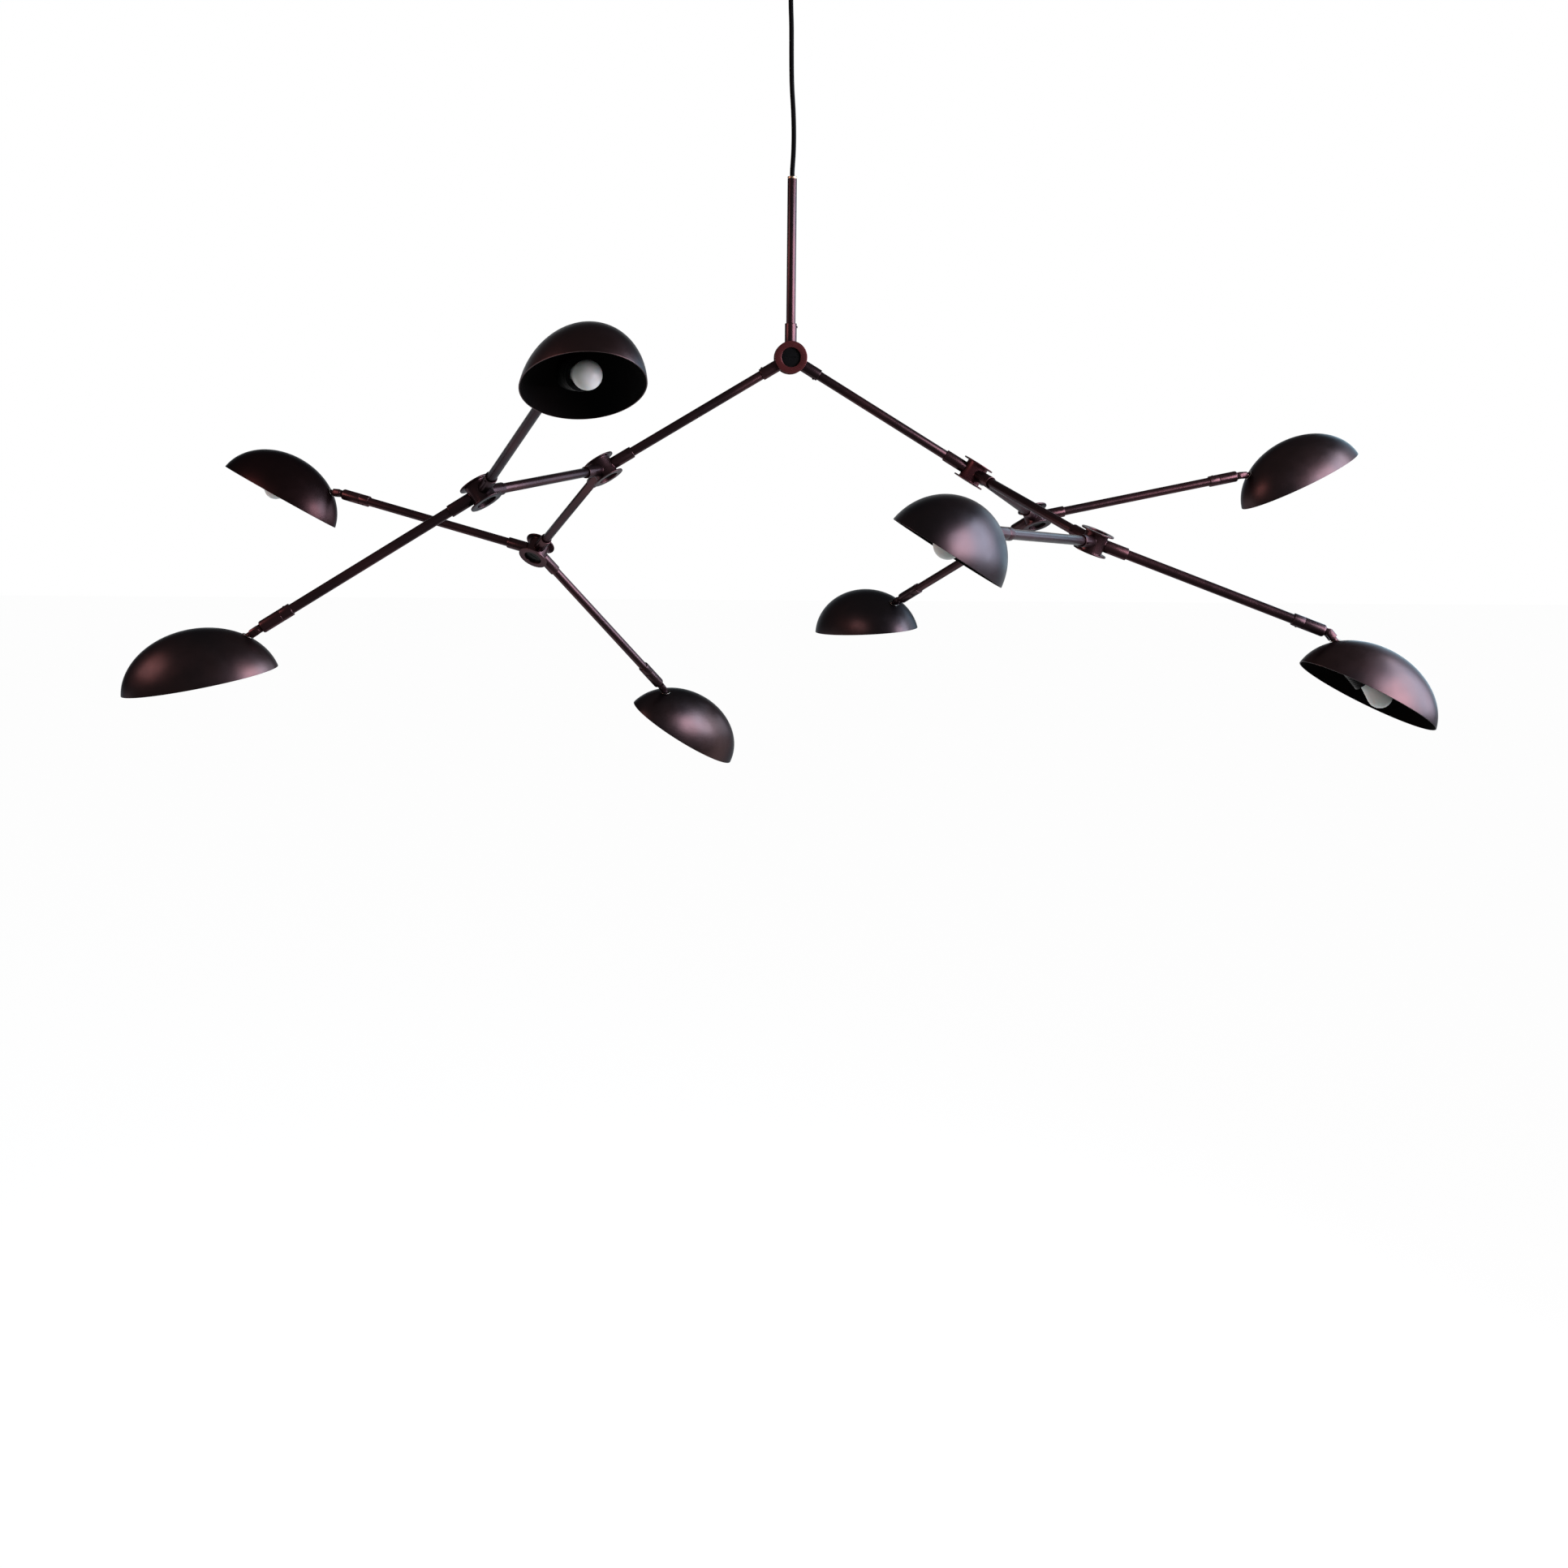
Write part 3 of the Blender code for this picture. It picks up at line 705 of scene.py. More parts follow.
class HalfEgg(GeometrySheet):
    """A half-egg shell, open at its cut side, from the rule of its own curve.

    One grid runs from the dome's top over the outside to the rim, and back up the inside.
    """

    def __init__(self) -> None:
        """Builds the tree."""
        super().__init__("half_egg")
        length = self.takes("Length", 0.204)
        width = self.takes("Width", 0.138)
        depth = self.takes("Depth", 0.068)
        wall = self.takes("Wall", 0.0014)
        slice_share = self.takes("Slice Share", 1.01)
        crowding = self.takes("Crowding", 1.7)
        rings = self.takes("Rings", 32, "NodeSocketInt")
        sides = self.takes("Sides", 96, "NodeSocketInt")
        rows = self.times(rings, 2.0)
        size = {"Size X": 1.0, "Size Y": 1.0, "Vertices X": self.plus(sides, 1.0), "Vertices Y": rows}
        grid = self.out("GeometryNodeMeshGrid", size)
        flat = self.position().outputs
        angle = self.times(self.plus(flat["X"], 0.5), math.tau)
        last = self.minus(rows, 1.0)
        row = self.maths("ROUND", self.times(self.plus(flat["Y"], 0.5), last))
        inside = self.maths("GREATER_THAN", row, self.minus(rings, 0.5))
        back = self.times(inside, self.minus(last, row))
        onward = self.times(self.minus(1.0, inside), row)
        step = self.over(self.plus(onward, back), self.minus(rings, 1.0))
        # Rings crowd towards the rim, so that its lighter line, rubbing and painted highlight together, stays
        # thin.
        crowd = self.maths("POWER", self.minus(1.0, step), crowding)
        rim = self.maths("ARCSINE", self.over(1.0, slice_share))
        tilt = self.times(rim, self.minus(1.0, crowd))
        base = self.maths("SQRT", self.minus(self.times(slice_share, slice_share), 1.0))
        share = self.times(slice_share, self.maths("SINE", tilt))
        high = self.minus(self.times(slice_share, self.maths("COSINE", tilt)), base)
        rise = self.over(high, self.minus(slice_share, base))
        thin = self.times(wall, inside)
        half_length = self.minus(self.over(length, 2.0), thin)
        half_width = self.minus(self.over(width, 2.0), thin)
        across = self.times(half_length, self.times(share, self.maths("COSINE", angle)))
        beside = self.times(half_width, self.times(share, self.maths("SINE", angle)))
        height = self.times(self.minus(depth, thin), rise)
        shell = grid
        # Rim points take the lighter edge colour: partly rubbing, partly a painted highlight along the rim.
        rim_rub_and_highlight = self.maths("GREATER_THAN", step, RIM_STEP)
        for name, value in ((EDGE, rim_rub_and_highlight), (LINING, inside)):
            shell = self.out(
                "GeometryNodeStoreNamedAttribute",
                {"Geometry": shell, "Name": name, "Value": value},
                data_type="FLOAT",
            )
        point = self.out("ShaderNodeCombineXYZ", {"X": across, "Y": beside, "Z": height})
        placed = self.out("GeometryNodeSetPosition", {"Geometry": shell, "Position": point})
        closed = self.out("GeometryNodeMergeByDistance", {"Geometry": placed, "Distance": SAME_PLACE})
        real = self.out("GeometryNodeRealizeInstances", {"Geometry": closed})
        named = self.node("GeometryNodeInputNamedAttribute", {"Name": LINING}, data_type="FLOAT")
        deep = self.maths("GREATER_THAN", named.outputs["Attribute"], LINED)
        outer = self.dressed(real, "Material")
        self.gives("Geometry", self.dressed(outer, "Lining", Selection=deep), "NodeSocketGeometry")


# Effects and finishes

FIRST_COLOUR = 6  # where a mix node takes its first colour
SECOND_COLOUR = 7  # where it takes its second one
WIDE_NOISE = {"From Min": 0.3, "From Max": 0.7}  # nearly all values of a noise texture
MAIN_NOISE = {"From Min": 0.35, "From Max": 0.65}  # most of them, for a stronger contrast
FINE_SHARE = 0.05  # the fine patches' share of a patina
FINER = 11.0  # how many fine patches go to the width of a broad one
SMEAR_SCALE = 0.04  # smears to each grain's width
GRAIN_HEIGHT = 0.0002
LEAST_EDGE_LIGHTENING = 0.45  # lighter edge colour, rubbing and painted glint alike, left on an edge where its noise is darkest
OPAL_DEPTH = 0.004  # how far light travels in opal glass


def noise(sheet: Wiring, scale: Any, detail: float, roughness: float = 0.5) -> Any:
    """Noise over a piece's own Object coordinates.

    Args:
        sheet: The tree that it is added to.
        scale: Its Scale.
        detail: Its Detail.
        roughness: Its Roughness.

    Returns:
        The noise's value.
    """
    where = sheet.node("ShaderNodeTexCoord").outputs["Object"]
    inputs = {"Vector": where, "Scale": scale, "Detail": detail, "Roughness": roughness}
    return sheet.out("ShaderNodeTexNoise", inputs)


class Patina(Sheet):
    """Shader group: broad and fine patches of a burnt metal, as a colour."""

    def __init__(self) -> None:
        """Builds the group."""
        super().__init__("patina", "ShaderNodeTree")
        dark = self.takes("Dark", (0.02, 0.01, 0.01, 1.0), "NodeSocketColor")
        warm = self.takes("Warm", (0.1, 0.05, 0.05, 1.0), "NodeSocketColor")
        amount = self.takes("Amount", 0.5)
        size = self.takes("Patch Scale", 9.0)
        broad = self.times(noise(self, size, detail=3.0, roughness=0.55), 1 - FINE_SHARE)
        fine = self.times(noise(self, self.times(size, FINER), detail=4.0, roughness=0.6), FINE_SHARE)
        spread = self.out(
            "ShaderNodeMapRange",
            {"Value": self.plus(broad, fine), **MAIN_NOISE},
            interpolation_type="SMOOTHSTEP",
        )
        mask = self.maths("MULTIPLY", spread, amount, clamp=True)
        blend = {0: mask, FIRST_COLOUR: dark, SECOND_COLOUR: warm}
        colour = self.node("ShaderNodeMix", blend, data_type="RGBA")
        self.gives("Colour", colour.outputs[2], "NodeSocketColor")


class Grain(Sheet):
    """Shader group: the fine grain of a satin or moulded surface, as a height and a value."""

    def __init__(self) -> None:
        """Builds the group."""
        super().__init__("grain", "ShaderNodeTree")
        size = self.takes("Grain Scale", 1200.0)
        self.gives("Height", noise(self, size, detail=2.0, roughness=0.6))
        self.gives("Value", noise(self, self.times(size, SMEAR_SCALE), 2.0))


class WornEdgeAndGlint(Sheet):
    """Shader group: the mask of edges drawn lighter: rubbed by handling, and on the shade's rim and the seat
    washer a painted highlight.
    """

    def __init__(self) -> None:
        """Builds the group."""
        super().__init__("worn_edge_and_glint", "ShaderNodeTree")
        amount = self.takes("Amount", 0.6)
        break_scale = self.takes("Break Scale", 130.0)
        marked = self.node("ShaderNodeAttribute", attribute_name=EDGE)
        broken = self.plus(noise(self, break_scale, detail=2.0), LEAST_EDGE_LIGHTENING)
        kept = self.times(marked.outputs["Fac"], broken)
        self.gives("Mask", self.maths("MULTIPLY", kept, amount, clamp=True))


@dataclass
class Effects:
    """The shader groups that several finishes share."""

    patina: Patina = field(default_factory=Patina)
    grain: Grain = field(default_factory=Grain)
    rub_and_glint: WornEdgeAndGlint = field(default_factory=WornEdgeAndGlint)


@dataclass(frozen=True)
class Finish:
    """A surface: a patchy colour, a fine grain and lighter edges (rubbing, and in places a painted highlight)
    over one Principled shader.

    Attributes:
        name: The material's name.
        slot: The record's slot that it stands for.
        dark: Its colour between the patches.
        warm: Its colour in the patches.
        patches: How strongly the patches show.
        patch_scale: Patches to the metre, roughly.
        edge: The colour of a worn edge.
        edge_rub_and_glint: How strongly the edges are worn.
        metallic: The shader's own Metallic.
        roughness: Roughness of the smoothest patches.
        roughness_spread: How much rougher the others are.
        grain_scale: Grains to the metre, roughly.
        grain_depth: Strength of the grain's bump.
        specular: The shader's own Specular IOR Level.
        edge_tint: The shader's own Specular Tint, which darkens a metal seen at a slant.
        milkiness: The shader's own Subsurface Weight, for opal glass.
    """

    name: str
    slot: Slot
    dark: Colour
    warm: Colour
    patches: float = 0.5
    patch_scale: float = 9.0
    # edge: The colour of a lighter edge: rubbed metal, and on some finishes a painted highlight.         edge_rub_and_glint: How strongly the edges take that colour.
    edge: Colour = (0.3, 0.3, 0.3)
    edge_rub_and_glint: float = 0.0
    metallic: float = 0.0
    roughness: float = 0.5
    roughness_spread: float = 0.1
    grain_scale: float = 1800.0
    grain_depth: float = 0.05
    specular: float = 0.5
    edge_tint: Colour = (1.0, 1.0, 1.0)
    milkiness: float = 0.0

    def material(self, effects: Effects) -> bpy.types.Material:
        """Builds the material.

        Args:
            effects: The shared effects.

        Returns:
            The material.
        """
        made = bpy.data.materials.new(self.name)
        made.use_nodes = True
        sheet = Wiring(made.node_tree)
        colours = {"Dark": (*self.dark, 1.0), "Warm": (*self.warm, 1.0)}
        patches = {"Amount": self.patches, "Patch Scale": self.patch_scale}
        patina = sheet.out("ShaderNodeGroup", {**colours, **patches}, node_tree=effects.patina.tree)
        grain = sheet.node(
            "ShaderNodeGroup", {"Grain Scale": self.grain_scale}, node_tree=effects.grain.tree
        ).outputs
        # Mask of lighter edges: rubbing, and on the shade rim and seat washer a painted highlight.
        rub_and_glint = sheet.out("ShaderNodeGroup", {"Amount": self.edge_rub_and_glint}, node_tree=effects.rub_and_glint.tree)
        edge = {0: rub_and_glint, FIRST_COLOUR: patina, SECOND_COLOUR: (*self.edge, 1.0)}
        colour = sheet.node("ShaderNodeMix", edge, data_type="RGBA")
        rougher = self.roughness + self.roughness_spread
        range_out = {"To Min": rougher, "To Max": self.roughness}
        rough = sheet.out("ShaderNodeMapRange", {"Value": grain["Value"], **WIDE_NOISE, **range_out})
        relief = {"Strength": self.grain_depth, "Distance": GRAIN_HEIGHT, "Height": grain["Height"]}
        sheet.feed(
            made.node_tree.nodes["Principled BSDF"],
            {
                "Base Color": colour.outputs[2],
                "Roughness": rough,
                "Normal": sheet.out("ShaderNodeBump", relief),
                "Metallic": self.metallic,
                "Specular IOR Level": self.specular,
                "Specular Tint": (*self.edge_tint, 1.0),
                "Subsurface Weight": self.milkiness,
                "Subsurface Scale": OPAL_DEPTH,
            },
        )
        return made


BRONZE = Finish(
    name="burnt_bronze",
    slot=Slot.BRONZE,
    dark=(0.038, 0.024, 0.027),
    warm=(0.080, 0.035, 0.038),
    patches=0.7,
    patch_scale=7.0,
    edge=(0.11, 0.060, 0.062),
    edge_rub_and_glint=0.5,
    metallic=0.93,
    roughness=0.27,
    roughness_spread=0.07,
    grain_scale=1500.0,
    grain_depth=0.01,
    edge_tint=(0.46, 0.50, 0.52),
)
REDDENED = replace(
    BRONZE,
    name="reddened_bronze",
    dark=(0.094, 0.0225, 0.0235),
    warm=(0.127, 0.028, 0.0285),
    metallic=0.74,
)
WINE = replace(
    REDDENED,
    name="wine_bronze",
    dark=(0.066, 0.0215, 0.0250),
    warm=(0.088, 0.0260, 0.0310),
)
HUB_FINISHES = {CENTRAL: REDDENED, "right_hub": WINE}  # the spools that were burnt redder
SHADE_OUTSIDE = Finish(
    name="burnt_shade_metal",
    slot=Slot.SHADE,
    dark=(0.038, 0.031, 0.034),
    warm=(0.072, 0.041, 0.040),
    patches=0.75,
    patch_scale=6.0,
    # The lighter rim colour is partly rubbing and partly a painted highlight along the shade's rim line.
    edge=(0.12, 0.080, 0.080),
    edge_rub_and_glint=0.5,
    metallic=1.0,
    roughness=0.33,
    roughness_spread=0.06,
    grain_scale=1500.0,
    grain_depth=0.02,
    edge_tint=(0.46, 0.50, 0.52),
)
# A darker copy of the shade metal: painted shade standing in for less light on one shade.
SHADE_PAINTED_DARK = replace(
    SHADE_OUTSIDE,
    name="darker_shade_metal",
    dark=(0.029, 0.0165, 0.0175),
    warm=(0.054, 0.0210, 0.0220),
)
SHADE_FINISHES = {3: SHADE_PAINTED_DARK}  # by lamp number, the shade whose metal is painted darker: painted shade for a shade that the lamps light less
SHADE_LINING = Finish(
    name="matt_black_lining",
    slot=Slot.SHADE,
    dark=(0.0012, 0.0010, 0.0012),
    warm=(0.0030, 0.0018, 0.0014),
    patches=0.6,
    patch_scale=14.0,
    # The lighter rim colour inside is partly rubbing and partly a painted highlight along the rim line.
    edge=(0.05, 0.025, 0.022),
    edge_rub_and_glint=0.4,
    roughness=0.80,
    grain_scale=1600.0,
    grain_depth=0.10,
    specular=0.08,
)
MOULDED = Finish(
    name="moulded_black",
    slot=Slot.HOLDER,
    dark=(0.0022, 0.0026, 0.0028),
    warm=(0.0042, 0.0045, 0.0046),
    patch_scale=30.0,
    edge=(0.03, 0.03, 0.03),
    edge_rub_and_glint=0.6,
    roughness=0.34,
    roughness_spread=0.12,
    grain_scale=2200.0,
    grain_depth=0.06,
    specular=0.07,
)
OPAL = Finish(
    name="opal_glass",
    slot=Slot.BULB,
    dark=(0.61, 0.64, 0.62),
    warm=(0.64, 0.665, 0.64),
    patch_scale=25.0,
    roughness=0.28,
    roughness_spread=0.06,
    grain_scale=500.0,
    grain_depth=0.004,
    specular=0.3,
    milkiness=0.15,
)
SHEATH = Finish(
    name="cord_sheath",
    slot=Slot.CORD,
    dark=(0.0016, 0.0016, 0.0018),
    warm=(0.0034, 0.0032, 0.0032),
    patch_scale=40.0,
    roughness=0.6,
    roughness_spread=0.12,
    grain_depth=0.12,
    specular=0.03,
)
NICKEL = Finish(
    name="dark_nickel",
    slot=Slot.BRASS,
    dark=(0.035, 0.030, 0.028),
    warm=(0.070, 0.058, 0.050),
    patch_scale=60.0,
    # The bright edge is a painted glint on the seat washer's rim, partly rubbing.
    edge=(0.42, 0.38, 0.34),
    edge_rub_and_glint=0.9,
    metallic=1.0,
    roughness=0.22,
    grain_scale=2000.0,
    grain_depth=0.04,
)
BRASS = Finish(
    name="aged_brass",
    slot=Slot.BRASS,
    dark=(0.26, 0.17, 0.10),
    warm=(0.46, 0.34, 0.22),
    patches=0.8,
    patch_scale=60.0,
    edge=(0.70, 0.60, 0.48),
    edge_rub_and_glint=0.8,
    metallic=1.0,
    roughness=0.24,
    roughness_spread=0.14,
    grain_scale=2000.0,
    grain_depth=0.08,
)
STEEL = Finish(
    name="plated_steel",
    slot=Slot.STEEL,
    dark=(0.50, 0.50, 0.52),
    warm=(0.66, 0.66, 0.66),
    patch_scale=50.0,
    edge=(0.85, 0.85, 0.85),
    edge_rub_and_glint=0.5,
    metallic=1.0,
    roughness=0.26,
    roughness_spread=0.16,
    grain_depth=0.10,
)
TERMINAL = Finish(
    name="moulded_white",
    slot=Slot.TERMINAL,
    dark=(0.72, 0.72, 0.69),
    warm=(0.80, 0.80, 0.77),
    patch_scale=40.0,
    roughness=0.42,
    grain_depth=0.08,
)


@dataclass
class Workshop:
    """Dresses finished meshes and hands them to the frame."""

    effects: Effects = field(default_factory=Effects)
    screws: GrubScrews = field(default_factory=GrubScrews)
    beads: SaddleBeads = field(default_factory=SaddleBeads)
    thread: ScrewThread = field(default_factory=ScrewThread)
    egg: HalfEgg = field(default_factory=HalfEgg)
    materials: dict[str, bpy.types.Material] = field(default_factory=dict)

    def material(self, finish: Finish) -> bpy.types.Material:
        """The material of a finish, made once.

        Args:
            finish: The finish.

        Returns:
            Its material.
        """
        if finish.name not in self.materials:
            self.materials[finish.name] = finish.material(self.effects)
        return self.materials[finish.name]

    def publish(
        self,
        name: str,
        mesh: bpy.types.Mesh,
        finish: Finish,
        body: str,
        node: str = "",
        place: Matrix | None = None,
        dressed: bool = False,
    ) -> None:
        """Makes a piece.

        Args:
            name: The piece's name.
            mesh: Its mesh.
            finish: Its finish.
            body: The CAD body that it rides on.
            node: The CAD node that it stands for, if any.
            place: Its place, where the mesh isn't in row coordinates yet.
            dressed: Whether the mesh holds its materials already.
        """
        mesh.name = name
        mesh.transform(place or Matrix())
        if not dressed:
            mesh.materials.clear()
            mesh.materials.append(self.material(finish))
        mesh.shade_smooth()
        mesh.set_sharp_from_angle(angle=math.radians(SHARP))
        self.hand_over(linked(name, mesh), finish, body, node)

    def grow(
        self,
        name: str,
        tree: GeometrySheet,
        places: Sequence[Matrix],
        sizes: dict[str, float],
        finish: Finish,
        body: str,
    ) -> None:
        """Makes a piece of small repeated parts.

        Args:
            name: The piece's name.
            tree: The tree that makes one part.
            places: Where the parts go.
            sizes: The tree's sizes, by name.
            finish: The piece's finish.
            body: The CAD body that it rides on.
        """
        mesh = tree.grow(places, {**sizes, "Material": self.material(finish)})
        self.publish(name, mesh, finish, body)

    def hand_over(self, piece: bpy.types.Object, finish: Finish, body: str, node: str) -> None:
        """Tells the frame what a piece rides on and stands for.

        Args:
            piece: The piece.
            finish: Its finish.
            body: The CAD body that it rides on.
            node: The CAD node that it stands for, if any.
        """
        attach(piece, body)
        if node:
            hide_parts(node)
        log.info("%s rides on %s and stands for %s", piece.name, body, node or "nothing")


# Sub-assemblies


@dataclass
class TubeStock:
    """The round tube of the stem and arms, and the sockets that take it."""

    radius: float = 0.0065
    bore: float = 0.0052
    fitting_radius: float = 0.00835
    seat_floor: float = 0.0293
    sides: int = 48

    def pipe(self, end: float) -> bpy.types.Mesh:
        """Makes a hollow tube from its seat in a hub.

        Args:
            end: Distance of its other end from the hub's middle.

        Returns:
            The tube along X.
        """
        start = self.seat_floor + GAP
        section = [(start, self.radius), (end, self.radius), (end, self.bore), (start, self.bore)]
        return Form().lathe(section, self.sides, fillet=0.0002, steps=2, closed=True).mesh()


@dataclass
class Hub:
    """A spool with a capped recess in each face and three sockets for tubes."""

    stock: TubeStock = field(default_factory=TubeStock)
    drum_radius: float = 0.0160
    flange_radius: float = 0.0227
    flange_thickness: float = 0.0020
    height: float = 0.0300
    recess_radius: float = 0.0137
    recess_depth: float = 0.0062
    socket_reach: float = 0.0473
    cap_radius: float = 0.0131
    cap_height: float = 0.0022
    slot_width: float = 0.0016
    screw_radius: float = 0.0015
    screw_reach: float = 0.0425
    screw_rise: float = 0.0006
    bead: float = 0.00045
    fillet: float = 0.0005

    def spool(self) -> bpy.types.Mesh:
        """Makes the drum with its two flanges.

        Returns:
            The spool about Z.
        """
        half = self.height / 2
        inner = half - self.flange_thickness
        floor = half - self.recess_depth
        upper = [
            (floor, 0.0),
            (floor, self.recess_radius),
            (half, self.recess_radius),
            (half, self.flange_radius),
            (inner, self.flange_radius),
            (inner, self.drum_radius),
        ]
        outline = upper + [(-z, radius) for z, radius in reversed(upper)]
        return Form().lathe(outline, Sides.DRUM, turn(-90, "Y"), fillet=self.fillet).mesh()

    def sockets(self, angles: Sequence[float]) -> bpy.types.Mesh:
        """Makes the sockets that stand out of the drum.

        Args:
            angles: Their directions about Z, in degrees.

        Returns:
            The sockets.
        """
        bore = self.stock.radius + GAP
        radius = self.stock.fitting_radius
        start = (self.recess_radius + self.drum_radius) / 2
        socket = [
            (start, 0.0),
            (start, radius),
            (self.socket_reach, radius),
            (self.socket_reach, bore),
            (self.stock.seat_floor, bore),
            (self.stock.seat_floor, 0.0),
        ]
        form = Form()
        for angle in angles:
            form.lathe(socket, Sides.FITTING, turn(angle, "Z"), fillet=self.fillet)
        return form.mesh()

    def caps(self) -> bpy.types.Mesh:
        """Makes the two moulded caps at the bottom of the recesses, each with a slot.

        Returns:
            The caps about Z.
        """
        floor = self.height / 2 - self.recess_depth + GAP
        top = floor + self.cap_height
        outline = [(floor, 0.0), (floor, self.cap_radius), (top, self.cap_radius), (top, 0.0)]
        deep = top - self.cap_height / 3
        half = self.slot_width / 2
        reach = self.cap_radius / 2
        groove = [(deep, -half), (top + GAP, -half), (top + GAP, half), (deep, half)]
        both = []
        for side in (-90, 90):
            cap = Form().lathe(outline, Sides.CAP, turn(side, "Y"), fillet=self.fillet).mesh()
            tool = Form().slab(groove, -reach, reach, turn(side, "Y")).mesh()
            both.append((combined(cap, "DIFFERENCE", tool), Matrix()))
        return merged(both)

    def build(self, shop: Workshop, node: str, place: Matrix, split: float) -> None:
        """Makes a hub's pieces.

        Args:
            shop: Where pieces are dressed and handed over.
            node: The hub's CAD node.
            place: The hub's frame.
            split: Degrees between each outgoing tube and the incoming one's line.
        """
        body = body_of(node)
        angles = (180.0, split, -split)
        radius = self.stock.fitting_radius
        arms = [place @ turn(angle, "Z") for angle in angles]
        shop.publish(f"{node}_spool", self.spool(), HUB_FINISHES.get(node, BRONZE), body, node, place)
        shop.publish(f"{node}_sockets", self.sockets(angles), BRONZE, body, place=place)
        shop.publish(f"{node}_caps", self.caps(), MOULDED, body, place=place)
        side = Matrix.Translation((self.screw_reach, -radius + self.screw_rise / 2, 0)) @ turn(90, "X")
        screw = {
            "Radius": self.screw_radius,
            "Height": 2 * self.screw_rise + self.screw_radius,
            "Recess": self.screw_rise,
        }
        spots = [arm @ side for arm in arms]
        shop.grow(f"{node}_grub_screws", shop.screws, spots, screw, BRONZE, body)
        bead = {"Drum Radius": self.drum_radius, "Socket Radius": radius, "Bead Radius": self.bead}
        shop.grow(f"{node}_beads", shop.beads, arms, bead, BRONZE, body)


@dataclass
class Knuckle:
    """The turning sleeve with its tongue, the tilt pin and the washers beside the tongue."""

    stock: TubeStock = field(default_factory=TubeStock)
    sleeve_length: float = 0.0307
    standoff: float = 0.0060
    end_round: float = 0.0022
    spigot_radius: float = 0.0045
    spigot_length: float = 0.0200
    ear_radius: float = 0.0054
    tongue_width: float = 0.0034
    washer_radius: float = 0.0049
    washer_thickness: float = 0.00055
    fork_width: float = 0.0130
    pin_radius: float = 0.0019
    head_radius: float = 0.0034
    head_height: float = 0.0010
    slot_width: float = 0.0007
    slot_depth: float = 0.0005
    slot_turn: float = 30.0

    def ear(self, reach: float, steps: int = 24) -> list[tuple[float, float]]:
        """Draws an ear from the side, round about the pin and straight on the other side.

        Args:
            reach: How far it goes along +X.
            steps: Steps of the round end.

        Returns:
            The outline.
        """
        radius = self.ear_radius
        angles = [math.pi / 2 + math.pi * step / steps for step in range(steps + 1)]
        outline = [(radius * math.cos(angle), radius * math.sin(angle)) for angle in angles]
        return outline + [(reach, -radius), (reach, radius)]

    def sleeve(self) -> bpy.types.Mesh:
        """Makes the sleeve, bored for the spigot, with a rounded outer end, and the tongue.

        Returns:
            The sleeve along X, up to the pin.
        """
        radius = self.stock.fitting_radius
        end = -self.standoff
        start = end - self.sleeve_length
        bore = self.spigot_radius + GAP
        floor = start + self.spigot_length + GAP
        outline = [
            (floor, 0.0),
            (floor, bore),
            (start, bore),
            (start, radius),
            (end - self.end_round, radius),
            (end - self.end_round / 4, radius - self.end_round / 3),
            (end, radius - self.end_round),
            (end, 0.0),
        ]
        body = Form().lathe(outline, Sides.FITTING, fillet=0.0005).mesh()
        half = self.tongue_width / 2
        tongue = Form().slab(self.ear(self.standoff + self.end_round), -half, half).mesh()
        return merged([(body, Matrix()), (bevelled(tongue, width=0.0003), turn(180, "Z"))])

    def washers(self) -> bpy.types.Mesh:
        """Makes the two washers beside the tongue.

        Returns:
            The washers about Y.
        """
        inner = self.tongue_width / 2 + GAP / 6
        outer = inner + self.washer_thickness
        bore, radius = self.pin_radius, self.washer_radius
        section = [(inner, bore), (outer, bore), (outer, radius), (inner, radius)]
        form = Form()
        for side in (90, -90):
            form.lathe(section, Sides.PIN, turn(side, "Z"), fillet=0.0001, steps=2, closed=True)
        return form.mesh()

    def pin(self) -> bpy.types.Mesh:
        """Makes the tilt pin, with a slotted head on one side and a riveted one on the other.

        Returns:
            The pin along Y.
        """
        seat = self.fork_width / 2 + GAP / 2
        top = seat + self.head_height
        half_head = self.head_height / 2
        outline = [
            (-top, 0.0),
            (-top + self.head_height / 3, self.head_radius - half_head),
            (-seat, self.head_radius),
            (-seat, self.pin_radius),
            (seat, self.pin_radius),
            (seat, self.head_radius),
            (top - half_head, self.head_radius),
            (top, self.head_radius - half_head),
            (top, 0.0),
        ]
        bar = Form().lathe(outline, Sides.PIN, turn(90, "Z"), fillet=0.0002, steps=2).mesh()
        half = self.slot_width / 2
        reach = self.head_radius + GAP
        across = [(-half, -reach), (half, -reach), (half, reach), (-half, reach)]
        tool = Form().slab(across, top - self.slot_depth, top + GAP, turn(self.slot_turn, "Y")).mesh()
        return combined(bar, "DIFFERENCE", tool)

    def build(self, shop: Workshop, number: int, place: Matrix) -> None:
        """Makes a sleeve's pieces.

        Args:
            shop: Where pieces are dressed and handed over.
            number: The lamp's number.
            place: The sleeve's frame.
        """
        body = f"sleeve_{number}_body"
        shop.publish(f"sleeve_{number}", self.sleeve(), BRONZE, body, f"swivel_sleeve_{number}", place)
        shop.publish(f"sleeve_{number}_washers", self.washers(), BRASS, body, place=place)
        shop.publish(f"sleeve_{number}_pin", self.pin(), BRONZE, body, place=place)


